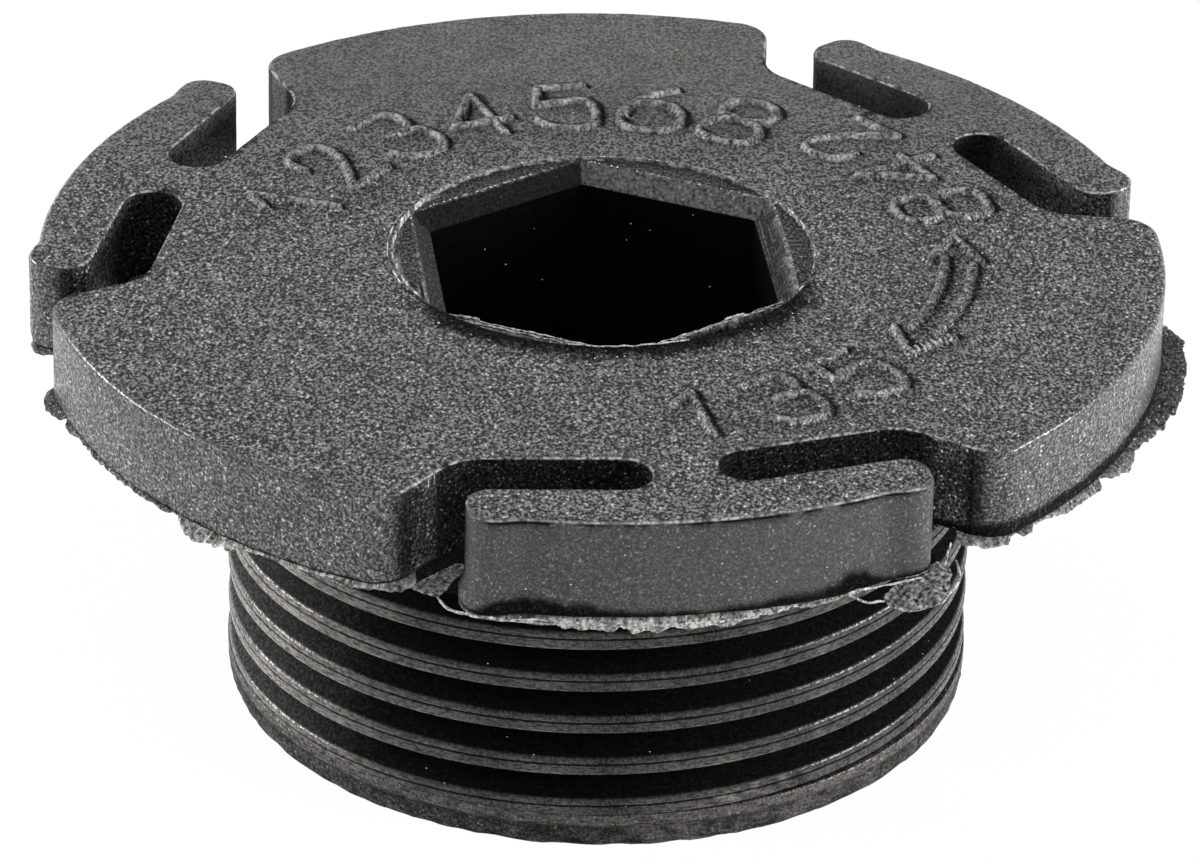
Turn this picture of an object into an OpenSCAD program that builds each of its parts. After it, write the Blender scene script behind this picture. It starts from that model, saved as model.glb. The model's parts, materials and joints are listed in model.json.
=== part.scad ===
// Oil drain plug, one injection moulding in black plastic.
// The axis of the thread is Z and the plug screws in downwards. The origin lies on the axis,
// in the plane of the head's underside, which is the face that seats on the sump.

/* [Head] */
// Diameter of the head's circle
head_d = 35; // [32:0.5:42]
// Thickness of the head plate
head_h = 3; // [2:0.1:5]

/* [Spring fingers] */
// Directions in which the fingers stand, seen from above
finger_angles = [-79, 41, 162]; // [-180:1:180]
// Length of a finger from tip to tip
finger_len = 13.9; // [10:0.1:15]
// Width of a finger at its middle
finger_w = 2.25; // [1.5:0.05:2.8]
// Width of a finger at its tips, nib included
finger_tip_w = 2; // [1.7:0.05:2.6]
// Radius of the rounded finger tips
finger_tip_r = 0.8; // [0.5:0.05:0.85]
// Height of the locking nib at a tip over the head's circle
nib_h = 0.25; // [0.1:0.05:0.8]
// Radius of the hollow that leads from a nib down to the head's circle
nib_hollow_r = 2; // [0.5:0.5:4]
// Width of the neck that carries a finger
neck_w = 2.05; // [1.4:0.05:4]
// Width of the slots behind a finger
slot_w = 1.85; // [1.2:0.05:2.2]

/* [Lobes] */
// Radius in the inner corner of the gap beside a finger tip
bay_r = 1.65; // [1:0.05:2]
// Radius of the corner that each lobe turns towards a finger
lobe_corner_r = 1.2; // [0.6:0.05:1.6]
// Clear gap between a finger tip and the lobe beside it
tip_gap = 1.1; // [0.8:0.05:1.6]

/* [Hexagon socket] */
// Width across the flats, for a 10 mm hexagon key
socket_af = 10.3; // [8:0.1:12]
// Depth of the socket from the top of the head
socket_depth = 10; // [6:0.5:12]
// Direction of a corner of the hexagon, seen from above
socket_angle = 37; // [0:1:60]
// Width that the lead-in adds on each flat
lead_in_w = 0.45; // [0.2:0.05:0.8]
// Depth of the lead-in
lead_in_h = 0.45; // [0.2:0.05:0.8]
// Depth of the round recess at the mouth of the socket
recess_h = 0.12; // [0.05:0.01:0.3]
// Width of the ledge between a corner of the hexagon and the wall of that recess
ledge_w = 0.1; // [0.05:0.05:0.5]

/* [Shank] */
// Length of the shank below the head
shank_len = 11.4; // [10:0.1:20]
// Diameter of the plain collar under the head
collar_d = 23.6; // [20:0.1:26]
// Length of the plain collar
collar_len = 3.2; // [2:0.1:4]
// Height of the plain band at the lower end
end_band_h = 0.8; // [0.5:0.1:1.5]
// How much the end band narrows towards its lower edge, on the radius
end_taper = 0.15; // [0.05:0.05:0.5]

/* [Thread] */
// Pitch of the right-hand thread
thread_pitch = 1.5; // [1:0.05:2]
// Width of the flat on the thread's crest
crest_w = 0.5; // [0.3:0.05:0.6]
// Width of the flat at the thread's root
root_w = 0.1; // [0.05:0.05:0.3]
// Angle between a flank and the plane across the axis
flank_angle = 30; // [25:1:40]
// How far the crest lies inside the collar's surface
crest_inset = 0.05; // [0.03:0.01:0.2]
// Height of the crest over the shank's lower end, in the direction -Y
crest_rise = 1.13; // [0.6:0.01:1.8]

/* [Hidden] */
$fn = 120;
plastic = "#2a2a2c";

// Angle that one chord of an outline's small arcs spans
arc_step = 9;
// Chords in one turn of the thread
turn_steps = 60;
// How far one solid reaches into another where they join, and a cut past a face
overlap = 0.5;
// How far the threaded core reaches into the end band
end_sink = 0.15;

rim_r = head_d / 2;
thread_r = collar_d / 2 - crest_inset;
thread_depth = (thread_pitch - crest_w - root_w) / 2 / tan(flank_angle);
root_r = thread_r - thread_depth;

// Centres of the circles that shape one side of a finger. Y runs outwards along its neck.
slot_end = [neck_w / 2 + slot_w / 2, rim_r - finger_w - slot_w / 2];
tip_x = finger_len / 2 - finger_tip_r;
tip_top = sqrt(pow(rim_r, 2) - pow(tip_x, 2)) + nib_h;
nib_centre = [tip_x, tip_top - finger_tip_r];
tip_centre = [tip_x, tip_top - finger_tip_w + finger_tip_r];
bay_centre = [tip_x, tip_centre[1] - finger_tip_r - slot_w + bay_r];
lobe_x = finger_len / 2 + tip_gap + lobe_corner_r;
lobe_centre = [lobe_x, sqrt(pow(rim_r - lobe_corner_r, 2) - pow(lobe_x, 2))];

// Angle of a vector, and the unit vector at an angle
function angle_of(v) = atan2(v[1], v[0]);
function unit(a) = [cos(a), sin(a)];

// Direction of the straight line that touches two circles, from the first to the second.
// A radius is positive where its circle lies to the left of the line.
function tangent_angle(c1, r1, c2, r2) = angle_of(c2 - c1) - asin((r2 - r1) / norm(c2 - c1));

// Points along an arc, both ends included
function arc(c, r, a1, a2) =
    let (n = ceil(abs(a2 - a1) / arc_step))
    [for (i = [0 : n]) c + r * unit(a1 + (a2 - a1) * i / n)];

function mirrored(points) =
    [for (i = [len(points) - 1 : -1 : 0]) [-points[i][0], points[i][1]]];

floor_angle = tangent_angle(slot_end, slot_w / 2, bay_centre, bay_r);
mouth_angle = tangent_angle(bay_centre, bay_r, lobe_centre, -lobe_corner_r);
inner_angle = tangent_angle(slot_end, -slot_w / 2, tip_centre, finger_tip_r);
// The hollow touches the nib and the head's circle from outside
hollow_centre = let (
        d = norm(nib_centre),
        from_axis = rim_r + nib_hollow_r,
        from_nib = finger_tip_r + nib_hollow_r,
        turn = acos((pow(from_axis, 2) + pow(d, 2) - pow(from_nib, 2)) / (2 * from_axis * d))
    ) from_axis * unit(angle_of(nib_centre) + turn);
nib_end_angle = angle_of(hollow_centre - nib_centre);
rim_end_angle = angle_of(hollow_centre);

// One side of the space round a finger: the slot's floor, the bay and the lobe's corner
bay_side = concat(
    [slot_end + slot_w / 2 * unit(floor_angle - 90)],
    arc(bay_centre, bay_r, floor_angle - 90, mouth_angle - 90),
    arc(lobe_centre, lobe_corner_r, mouth_angle + 90, angle_of(lobe_centre)),
    [lobe_centre * (rim_r + nib_h + overlap) / norm(lobe_centre)],
    [[tip_x, tip_top + overlap]]
);

// One side of a finger: the neck's foot, the slot's end, the inner edge, the tip, the nib with
// its hollow, and the outer edge
finger_side = concat(
    [slot_end - [0, slot_w / 2 + overlap]],
    arc(slot_end, slot_w / 2, floor_angle - 90, inner_angle + 90 - 360),
    arc(tip_centre, finger_tip_r, inner_angle - 90, 0),
    arc(nib_centre, finger_tip_r, 0, nib_end_angle),
    arc(hollow_centre, nib_hollow_r, nib_end_angle + 180, rim_end_angle + 180),
    arc([0, 0], rim_r, rim_end_angle + arc_step / 4, 90)
);

module head_outline() {
    difference() {
        circle(r = rim_r);
        for (a = finger_angles)
            rotate(a - 90) polygon(concat(bay_side, mirrored(bay_side)));
    }
    for (a = finger_angles)
        rotate(a - 90) polygon(concat(finger_side, mirrored(finger_side)));
}

module head() {
    linear_extrude(height = head_h) head_outline();
}

module plain_bands() {
    translate([0, 0, -collar_len]) cylinder(d = collar_d, h = collar_len + overlap);
    translate([0, 0, -shank_len])
        cylinder(r1 = collar_d / 2 - end_taper, r2 = collar_d / 2, h = end_band_h);
}

// Core of the shank with the helical thread round it, as one polyhedron. Its upper end lies
// inside the collar and its lower end, cut flat, inside the end band.
module threaded_core() {
    flank_h = (thread_pitch - crest_w - root_w) / 2;
    // One turn of the profile as [radius, height], up to the foot of the next turn
    profile = [
        [root_r, 0],
        [root_r, root_w],
        [thread_r, root_w + flank_h],
        [thread_r, root_w + flank_h + crest_w]
    ];
    rows = len(profile);
    // The middle of the crest passes the direction -Y at this height
    crest_z = crest_rise - shank_len;
    foot_z = crest_z - profile[2][1] - crest_w / 2;
    cut_z = end_band_h - end_sink - shank_len;
    // Steps of the helix, counted from the direction -Y, so that it spans the cut and the collar
    first = floor((cut_z - foot_z) / thread_pitch - 1.1) * turn_steps;
    last = ceil((-collar_len - foot_z) / thread_pitch + 1.3) * turn_steps;
    steps = last - first;

    // A point of the profile at a step, and the number of that point in the list
    function place(i, p) =
        let (a = 360 * i / turn_steps - 90)
        [p[0] * cos(a), p[0] * sin(a), foot_z + thread_pitch * i / turn_steps + p[1]];
    function id(i, j) = j < rows ? i * rows + j : (i + turn_steps) * rows;
    low_id = (steps + 1) * rows;
    high_id = low_id + 1;

    points = concat(
        [for (i = [0 : steps], p = profile) place(first + i, p)],
        [place(first, [0, 0]), place(last, [0, 0])]
    );
    top = steps - turn_steps;
    walls = [
        for (i = [0 : top - 1], j = [0 : rows - 1])
            each [[id(i, j), id(i, j + 1), id(i + 1, j)],
                  [id(i, j + 1), id(i + 1, j + 1), id(i + 1, j)]]
    ];
    ends = [
        for (i = [0 : turn_steps - 1])
            each [[low_id, id(i, 0), id(i + 1, 0)],
                  [high_id, id(top + i + 1, 0), id(top + i, 0)]]
    ];
    steps_faces = [
        for (j = [0 : rows - 1])
            each [[low_id, id(0, j + 1), id(0, j)],
                  [high_id, id(top, j), id(top, j + 1)]]
    ];
    difference() {
        polyhedron(points = points, faces = concat(walls, ends, steps_faces));
        translate([-collar_d, -collar_d, cut_z - 3 * collar_d])
            cube([2 * collar_d, 2 * collar_d, 3 * collar_d]);
    }
}

module socket() {
    corner_r = socket_af / 2 / cos(30);
    mouth_r = (socket_af / 2 + lead_in_w) / cos(30);
    translate([0, 0, head_h - recess_h]) cylinder(r = mouth_r + ledge_w, h = overlap);
    translate([0, 0, head_h]) rotate(socket_angle) {
        translate([0, 0, -socket_depth]) cylinder(r = corner_r, h = socket_depth, $fn = 6);
        translate([0, 0, -recess_h - lead_in_h])
            cylinder(r1 = corner_r, r2 = mouth_r, h = lead_in_h, $fn = 6);
    }
}

module drain_plug() {
    color(plastic) difference() {
        union() {
            head();
            plain_bands();
            threaded_core();
        }
        socket();
    }
}

drain_plug();
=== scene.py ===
"""Oil drain plug moulded in black plastic: its meshes and finishes, a floor, light and a camera.

Lengths are in millimetres until a mesh is built, and angles in degrees. The axis of the plug
is Z, and the origin lies on it in the plane of the head's underside.
"""
import json
import math

import bmesh
import bpy
import numpy as np
from mathutils import Matrix, Vector, noise
from mathutils.geometry import delaunay_2d_cdt


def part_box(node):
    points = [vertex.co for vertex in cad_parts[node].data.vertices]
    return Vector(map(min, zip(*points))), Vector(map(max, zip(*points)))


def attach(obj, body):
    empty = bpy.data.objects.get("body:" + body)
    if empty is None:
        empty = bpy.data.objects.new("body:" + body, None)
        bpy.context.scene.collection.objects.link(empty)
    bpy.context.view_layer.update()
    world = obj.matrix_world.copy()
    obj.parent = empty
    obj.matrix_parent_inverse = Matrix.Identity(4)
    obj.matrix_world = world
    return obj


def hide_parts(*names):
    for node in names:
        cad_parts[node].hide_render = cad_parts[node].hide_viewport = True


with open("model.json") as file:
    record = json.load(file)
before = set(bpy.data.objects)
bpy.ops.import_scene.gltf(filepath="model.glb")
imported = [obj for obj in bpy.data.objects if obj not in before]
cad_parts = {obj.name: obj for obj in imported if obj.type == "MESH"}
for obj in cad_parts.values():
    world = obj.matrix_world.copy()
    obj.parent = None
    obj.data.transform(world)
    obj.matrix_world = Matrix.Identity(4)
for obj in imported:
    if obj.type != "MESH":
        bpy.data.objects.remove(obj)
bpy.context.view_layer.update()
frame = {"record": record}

NODE = "drain_plug"
BODY = "root"
MM = 0.001
cad_low, cad_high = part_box(NODE)
collar = next(m["dims"] for m in frame["record"]["mounts"] if m["name"] == "collar")

# Main sizes, from the frame
TOP_Z = cad_high.z / MM
END_Z = cad_low.z / MM
COLLAR_R = collar["r_mm"]
COLLAR_LEN = collar["length_mm"]

# Head and spring fingers
RIM_R = 17.5
FINGER_LEN = 13.9
FINGER_W = 2.25
FINGER_TIP_R = 0.8
FINGER_TIP_W = 2
NIB_H = 0.24
NIB_RUN = 1.1
SLOT_W = 1.84
BAY_R = 1.65
LOBE_CORNER_R = 1.2
TIP_GAP = 1.1
# Each finger's direction and rim radius, and the half width of the neck, the half length and
# the width of the tip on its first and its second side, counter-clockwise
FINGERS = (
    (-79, 17.5, (1.2, 6.95, 2), (0.82, 6.95, 2)),
    (41, 17.5, (1.02, 6.95, 2), (1.02, 6.95, 2)),
    (162, 17.6, (1.02, 7.15, 1.88), (1.02, 7, 2)),
)
# Nothing is cut out of the head inside this radius, apart from the socket
SLOT_FLOOR_R = 13

# Socket
SOCKET_AF = 10.3
SOCKET_DEPTH = 10
SOCKET_ANGLE = 37
LEAD_IN_W = 0.45
RECESS_H = 0.12
LEDGE_W = 0.1
# The lead-in as it is worn wider and deeper
WORN_LEAD_IN_W = 0.62
WORN_LEAD_IN_H = 0.55

# Shank and thread
END_BAND_H = 0.95
# How far the worn lower end of the shank hangs below the plain one
END_DROP = 0.2
# The thread's pitch, the radius of its crest, its depth from there and the width of its root
PITCH = 1.47
CREST_R = COLLAR_R - 0.05
THREAD_DEPTH = 0.78
ROOT_W = 0.1
# Height of a crest's middle over the plain lower end, in the direction -Y
CREST_RISE = 1.26

# The collar lies in the shade of the head, and is painted this dark as shade
COLLAR_SHADE = 0.85

# Steps of the grids, along the outline and over the top and its marks
OUTLINE_STEP = 0.14
TOP_STEP = 0.36
MARK_STEP = 0.065
SHANK_COLUMNS = 240

# Finishes of the moulding, by their place in its list of materials. The last two paint shade: black
# for the deep socket, and a darker, duller finish for the walls of the slots
GRAINED, SATIN, SMOOTH, GLOSSY, SCUFFED, SOCKET, SOCKET_SHADE, SLOT_SHADE = range(8)


def unit(angle):
    """Unit vector at an angle."""
    return np.array([math.cos(math.radians(angle)), math.sin(math.radians(angle))])


def angle_of(v):
    """Direction of a vector."""
    return math.degrees(math.atan2(v[1], v[0]))


def smooth(x):
    """Soft step from 0 to 1 as x goes from 0 to 1."""
    x = np.clip(x, 0, 1)
    return x * x * (3 - 2 * x)


def tangent_angle(c1, r1, c2, r2):
    """Direction of the line that touches two circles; a radius is positive on the line's left."""
    d = np.subtract(c2, c1)
    return angle_of(d) - math.degrees(math.asin((r2 - r1) / np.hypot(*d)))


def arc(centre, radius, start, end, step=OUTLINE_STEP):
    """Points along an arc, both ends included."""
    count = max(2, math.ceil(abs(math.radians(end - start)) * radius / step))
    return [np.add(centre, radius * unit(a)) for a in np.linspace(start, end, count + 1)]


def dense(points, step):
    """The polyline with points added so that no segment is longer than the step."""
    out = [points[0]]
    for a, b in zip(points, points[1:]):
        count = max(1, math.ceil(math.dist(a, b) / step))
        out += [a + (b - a) * k / count for k in range(1, count + 1)]
    return np.array(out)


def turned(points, angle):
    """Points of the plane turned about the origin."""
    c, s = unit(angle)
    return points @ np.array([[c, s], [-s, c]])


def finger_half(rim_r, neck, reach, tip_w):
    """Right half of the outline round a finger whose neck points along +Y, from the lobe on."""
    slot_end = np.array([neck + SLOT_W / 2, RIM_R - FINGER_W - SLOT_W / 2])
    bay_x = FINGER_LEN / 2 - FINGER_TIP_R
    bay_y = math.sqrt(RIM_R ** 2 - bay_x ** 2) + NIB_H - FINGER_TIP_W - SLOT_W + BAY_R
    bay = np.array([bay_x, bay_y])
    lobe_x = FINGER_LEN / 2 + TIP_GAP + LOBE_CORNER_R
    lobe = np.array([lobe_x, math.sqrt((RIM_R - LOBE_CORNER_R) ** 2 - lobe_x ** 2)])
    tip_x = reach - FINGER_TIP_R
    tip_top = math.sqrt(rim_r ** 2 - tip_x ** 2) + NIB_H
    nib = np.array([tip_x, tip_top - FINGER_TIP_R])
    tip = np.array([tip_x, tip_top - tip_w + FINGER_TIP_R])
    floor = tangent_angle(slot_end, SLOT_W / 2, bay, BAY_R)
    mouth = tangent_angle(bay, BAY_R, lobe, -LOBE_CORNER_R)
    inner = tangent_angle(slot_end, -SLOT_W / 2, tip, FINGER_TIP_R)
    nib_angle = angle_of(nib)
    nib_r = np.hypot(*nib) + FINGER_TIP_R
    run = math.degrees(NIB_RUN / rim_r)
    slope = [
        (nib_r + (rim_r - nib_r) * smooth(t)) * unit(nib_angle + run * t)
        for t in np.linspace(0, 1, 9)
    ]
    points = (
        arc(lobe, LOBE_CORNER_R, angle_of(lobe), mouth + 90)
        + arc(bay, BAY_R, mouth - 90, floor - 90)
        + arc(slot_end, SLOT_W / 2, floor - 90, inner - 270)
        + arc(tip, FINGER_TIP_R, inner - 90, 0)
        + arc(nib, FINGER_TIP_R, 0, nib_angle)
        + slope
        + arc((0, 0), rim_r, nib_angle + run, 90)
    )
    return dense(points, OUTLINE_STEP)


def head_outline():
    """The head's outline seen from above, counter-clockwise and closed."""
    fingers = []
    for angle, rim_r, first, second in FINGERS:
        half, other = finger_half(rim_r, *first), finger_half(rim_r, *second)
        fingers.append(turned(np.vstack([half, other[::-1][1:] * (-1, 1)]), angle - 90))
    loop = []
    for k, finger in enumerate(fingers):
        start, end = angle_of(finger[-1]), angle_of(fingers[(k + 1) % len(fingers)][0])
        loop += list(finger) + arc((0, 0), RIM_R, start, end + 360 * (end < start))
    loop = np.array(loop)
    gap = np.hypot(*(loop - np.roll(loop, 1, axis=0)).T)
    return loop[gap > OUTLINE_STEP / 20]


def outward(loop):
    """Unit normals of a closed counter-clockwise loop."""
    along = np.roll(loop, -1, axis=0) - np.roll(loop, 1, axis=0)
    normal = np.column_stack([along[:, 1], -along[:, 0]])
    return normal / np.hypot(*normal.T)[:, None]


def waves(points, size, seed):
    """Smooth noise between about -1 and 1 at each point; size is that of its bumps."""
    shift = Vector((seed * 17.3, seed * 5.1, seed * 9.7))
    return np.array([noise.noise(Vector(p) / size + shift) for p in points])


def lift(loop, z):
    """Points of the plane at one height, or at a height each."""
    return np.column_stack([loop, np.broadcast_to(z, len(loop))])


def from_ends(count):
    """How many steps each of a row's points is from the nearer end of the row."""
    return np.minimum(np.arange(count), count - 1 - np.arange(count))


def new_object(name, data):
    """An object in the scene."""
    made = bpy.data.objects.new(name, data)
    bpy.context.scene.collection.objects.link(made)
    return made


class Shape:
    """Points in millimetres and faces, gathered from patches that share their borders."""

    def __init__(self):
        self.points, self.faces, self.finishes, self.tones, self.count = [], [], [], [], 0

    def add(self, points, faces, finish, soot_and_shade=0, wear_and_highlight=0):
        """Finish is one number, or one for each face; the soot and painted shade, and the wear and
        painted highlights, are each one number or one for each point.
        """
        tones = [np.broadcast_to(tone, len(points)) for tone in (soot_and_shade, wear_and_highlight)]
        self.points.append(np.asarray(points, float))
        self.faces += [tuple(int(i) + self.count for i in f) for f in faces]
        self.finishes += list(np.broadcast_to(finish, len(faces)))
        self.tones.append(np.column_stack(tones))
        self.count += len(points)

    def band(self, rows, finish, closed=True, ring=False, soot_and_shade=0, wear_and_highlight=0):
        """Quads between rows of equal length; a ring's last row meets its first."""
        n = len(rows[0])
        columns = range(n if closed else n - 1)
        steps = range(len(rows) if ring else len(rows) - 1)
        faces = [
            (r * n + c, (r + 1) % len(rows) * n + c, (r + 1) % len(rows) * n + (c + 1) % n,
             r * n + (c + 1) % n)
            for r in steps
            for c in columns
        ]
        if np.ndim(finish):
            finish = np.tile(np.asarray(finish)[:len(columns)], len(steps))
        tones = [np.ravel(tone) if np.ndim(tone) else tone for tone in (soot_and_shade, wear_and_highlight)]
        self.add(np.vstack(rows), faces, finish, *tones)

    def build(self, name, materials, sharp_angle, weld=0.002):
        mesh = bpy.data.meshes.new(name)
        mesh.from_pydata((np.vstack(self.points) * MM).tolist(), [], self.faces)
        mesh.polygons.foreach_set("material_index", [int(f) for f in self.finishes])
        for material in materials:
            mesh.materials.append(material)
        for tone, values in zip(("soot_and_shade", "wear_and_highlight"), np.vstack(self.tones).T):
            layer = mesh.attributes.new(tone, "FLOAT", "POINT")
            layer.data.foreach_set("value", np.ascontiguousarray(values, np.float32))
        bm = bmesh.new()
        bm.from_mesh(mesh)
        bmesh.ops.remove_doubles(bm, verts=bm.verts, dist=weld * MM)
        bmesh.ops.recalc_face_normals(bm, faces=bm.faces)
        bm.to_mesh(mesh)
        bm.free()
        mesh.polygons.foreach_set("use_smooth", [True] * len(mesh.polygons))
        mesh.set_sharp_from_angle(angle=math.radians(sharp_angle))
        piece = new_object(name, mesh)
        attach(piece, BODY)
        return piece


# Raised marks on the head: plain dial numbers as strokes in a box 1 wide and DIGIT_H high
DIGIT_H = 1.6
DIGITS = {
    "1": [[(0.2, 1.2), (0.6, 1.6), (0.6, 1.6), (0.6, 0)]],
    "2": [[(0.05, 1.1), (0.1, 1.6), (0.95, 1.65), (0.95, 0.95), (0, 0), (0, 0), (1, 0)]],
    "3": [[(0.05, 1.5), (0.95, 1.75), (1, 0.9), (0.4, 0.85), (0.4, 0.85), (1.1, 0.85), (1.05, -0.1),
           (0.2, -0.1), (0, 0.3)]],
    "4": [[(0.75, 0), (0.75, 1.6), (0.75, 1.6), (0, 0.5), (0, 0.5), (1.05, 0.5)]],
    "5": [[(0.95, 1.6), (0.15, 1.6), (0.15, 1.6), (0.05, 0.85), (0.05, 0.85), (1.1, 1.15),
           (1.05, -0.1), (0.3, -0.1), (0, 0.25)]],
    "6": [[(0.8, 1.6), (0.1, 1.1), (-0.1, -0.1), (1.1, -0.1), (1.05, 0.95), (0.1, 1.05),
           (0.02, 0.45)]],
    "8": [[(0.5, 0.85), (0, 0.95), (0.05, 1.65), (0.95, 1.65), (1, 0.95), (0.5, 0.85), (0, 0.75),
           (-0.05, -0.05), (1.05, -0.05), (1, 0.75), (0.5, 0.85)]],
}
STROKE_W = 0.28
MARK_H = 0.16
MARK_EDGE_W = 0.09
# The numbers: digits, angles of the first and the last, radius, height, and whether their feet
# point to the rim
NUMBERS = (
    ("1234568", 164, 65, 10.25, 2.9, False),
    ("248", 46, 18, 11.2, 2.8, True),
    ("135", -75, -46, 11.1, 2.7, True),
)
# The arrow's two rails, as radius and angles, and its two open heads
ARROW_RAILS = ((10.63, -1, -27), (11.5, -3, -27))
ARROW_HEADS = (
    ((10.05, -0.35), (11.0, 1.25), (11.75, -0.3)),
    ((8.95, -4.9), (9.35, -6.5), (10.7, -5.5)),
)
# The lower barb of the arrow is ribbed between these ends
RIB_ENDS = ARROW_HEADS[1][1:]
RIB_STEP = 0.21
# The side of a mark that gets a beaded painted highlight, as if lit from there
PALE_SIDE = (-0.55, -0.83)


def rounded(points, rounds=3):
    """A polyline with its corners cut, again and again, to a smooth curve."""
    points = np.array(points, float)
    for _ in range(rounds):
        a, b = points[:-1], points[1:]
        cuts = np.stack([a * 0.75 + b * 0.25, a * 0.25 + b * 0.75], 1)
        points = np.vstack([points[:1], cuts.reshape(-1, points.shape[1]), points[-1:]])
    return points


def digit_strokes(text, first_angle, last_angle, radius, height, feet_out):
    """Strokes of digits spread along an arc, with their feet to the rim or to the socket."""
    out = []
    for digit, angle in zip(text, np.linspace(first_angle, last_angle, len(text))):
        for stroke in DIGITS[digit]:
            local = (rounded(stroke) - (0.5, DIGIT_H / 2)) * height / DIGIT_H
            facing = angle + 90 if feet_out else angle - 90
            out.append(turned(dense(list(local), MARK_STEP), facing) + radius * unit(angle))
    return out


def arrow_strokes():
    """A hollow double-headed arrow that curves along the head's rim, with a ribbed barb."""
    rails = [np.array(arc((0, 0), *rail)) for rail in ARROW_RAILS]
    heads = [dense([np.array(p) for p in head], MARK_STEP) for head in ARROW_HEADS]
    return rails + heads


def mark_strokes():
    """The middle lines of all the raised marks, each a row of points."""
    return [stroke for number in NUMBERS for stroke in digit_strokes(*number)] + arrow_strokes()


def nearest(points, targets, chunk=4000):
    """Distance from each point to the nearest target, and the number of that target."""
    distance, number = [], []
    for k in range(0, len(points), chunk):
        square = ((points[k:k + chunk, None, :] - targets[None, :, :]) ** 2).sum(2)
        number.append(square.argmin(1))
        distance.append(np.sqrt(square.min(1)))
    return np.concatenate(distance), np.concatenate(number)


def nearest_distance(points, targets):
    return nearest(points, targets)[0]


def inside(points, loop):
    """Whether each point lies in a closed loop, by counting the loop's crossings."""
    a, b = loop, np.roll(loop, -1, axis=0)
    result = []
    for x, y in points:
        spans = (a[:, 1] > y) != (b[:, 1] > y)
        p, q = a[spans], b[spans]
        cross = p[:, 0] + (y - p[:, 1]) * (q[:, 0] - p[:, 0]) / (q[:, 1] - p[:, 1])
        result.append((cross > x).sum() % 2 == 1)
    return np.array(result, bool)


def loop_edges(*loops):
    """Edges of closed loops whose points follow each other in one list."""
    edges, start = [], 0
    for loop in loops:
        n = len(loop)
        edges += [(start + k, start + (k + 1) % n) for k in range(n)]
        start += n
    return edges


def triangulate(points, edges):
    """Triangles between points in the plane that keep some edges, as points and faces."""
    found = delaunay_2d_cdt([Vector(p) for p in points], edges, [], 1, 1e-6, False)
    return np.array([tuple(v) for v in found[0]]), np.array([tuple(f) for f in found[2]])


def fill(outer, hole, hole_r, inner=()):
    """Triangles, as points in the plane and faces, between a loop and a round hole's loop."""
    flat, faces = triangulate(np.vstack([outer, hole, *inner]), loop_edges(outer, hole))
    middles = flat[faces].mean(1)
    radius = np.hypot(*middles.T)
    kept = radius > hole_r
    unsure = radius > SLOT_FLOOR_R
    kept[unsure] = inside(middles[unsure], outer)
    return flat, faces[kept]


def triangular_grid(reach, step):
    """Points of a grid of triangles, from -reach to reach along X and Y."""
    rows = np.arange(-reach, reach, step * math.sqrt(3) / 2)
    columns = np.arange(-reach, reach, step)
    x, y = np.meshgrid(columns, rows)
    x = x + step / 2 * (np.arange(len(rows)) % 2)[:, None]
    return np.column_stack([x.ravel(), y.ravel()])


MOUTH_R = (SOCKET_AF / 2 + LEAD_IN_W) / math.cos(math.pi / 6) + LEDGE_W
TOP_ROUND = 0.11
MOUTH_ROUND = 0.05
# A low rim swells round the near side of the socket's mouth
MOUTH_RIM_H = 0.06
MOUTH_RIM_W = 0.5
MOUTH_RIM_SPAN = 84
MOUTH_RIM_MIDDLE = -82
MOUTH_RIM_FADE = 35
# All the marks lie inside this radius
MARKS_R = 13.2
# The grid of the top starts this far outside the mouth. Up to there, rings of points lie round it:
# their width, the first step between them and its growth.
GRID_GAP = 1
RINGS_W = 0.95
RING_STEP = 0.08
RING_GROWTH = 1.12


def near_mouth(points):
    """1 beside the near half of the socket's mouth, fading to 0 towards its far half."""
    turn = np.degrees(np.arctan2(points[:, 1], points[:, 0])) - MOUTH_RIM_MIDDLE
    away = np.abs((turn + 180) % 360 - 180)
    return smooth((MOUTH_RIM_SPAN - away) / MOUTH_RIM_FADE)


def mouth_rim(points):
    """How far the head's top stands over its plane round the socket's mouth."""
    rise = MOUTH_RIM_H * (1 + 0.35 * waves(lift(points, 0), 0.45, 2))
    away = np.hypot(*points.T) - MOUTH_R - MOUTH_ROUND
    return near_mouth(points) * rise * np.exp(-(np.maximum(away, 0) / MOUTH_RIM_W) ** 1.5)


def top_points(border, strokes):
    """Inner points of the head's top, close together where the surface has relief."""
    coarse = triangular_grid(RIM_R + 1, TOP_STEP)
    coarse = coarse[np.hypot(*coarse.T) > MOUTH_R + GRID_GAP]
    coarse = coarse[inside(coarse, border)]
    coarse = coarse[nearest_distance(coarse, border) > TOP_STEP / 2]
    marks = np.vstack(strokes)
    reach = STROKE_W / 2 + MARK_EDGE_W + MARK_STEP
    fine = triangular_grid(RIM_R, MARK_STEP)
    radius = np.hypot(*fine.T)
    fine = fine[(radius > MOUTH_R + GRID_GAP) & (radius < MARKS_R)]
    fine = fine[nearest_distance(fine, marks) < reach]
    coarse = coarse[nearest_distance(coarse, marks) > reach + MARK_STEP]
    rings = []
    ring_radius, ring_step = MOUTH_R + MOUTH_ROUND, RING_STEP
    while ring_radius < MOUTH_R + RINGS_W:
        ring_radius += ring_step
        count = int(2 * math.pi * ring_radius / ring_step)
        rings += arc((0, 0), ring_radius, 0, 360 * (1 - 1 / count), ring_step)
        ring_step *= RING_GROWTH
    return np.vstack([coarse, fine, rings])


def ribs(points):
    """Waves across the lower barb of the arrow, from -1 to 1, and 0 away from it."""
    start, end = np.array(RIB_ENDS)
    length = math.dist(start, end)
    along = (end - start) / length
    place = (points - start) @ along
    off = np.abs((points - start) @ np.array([-along[1], along[0]]))
    on = smooth(place / 0.15) * smooth((length - place) / 0.15) * smooth((0.32 - off) / 0.1)
    return on * np.sin(2 * math.pi * place / RIB_STEP)


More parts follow.
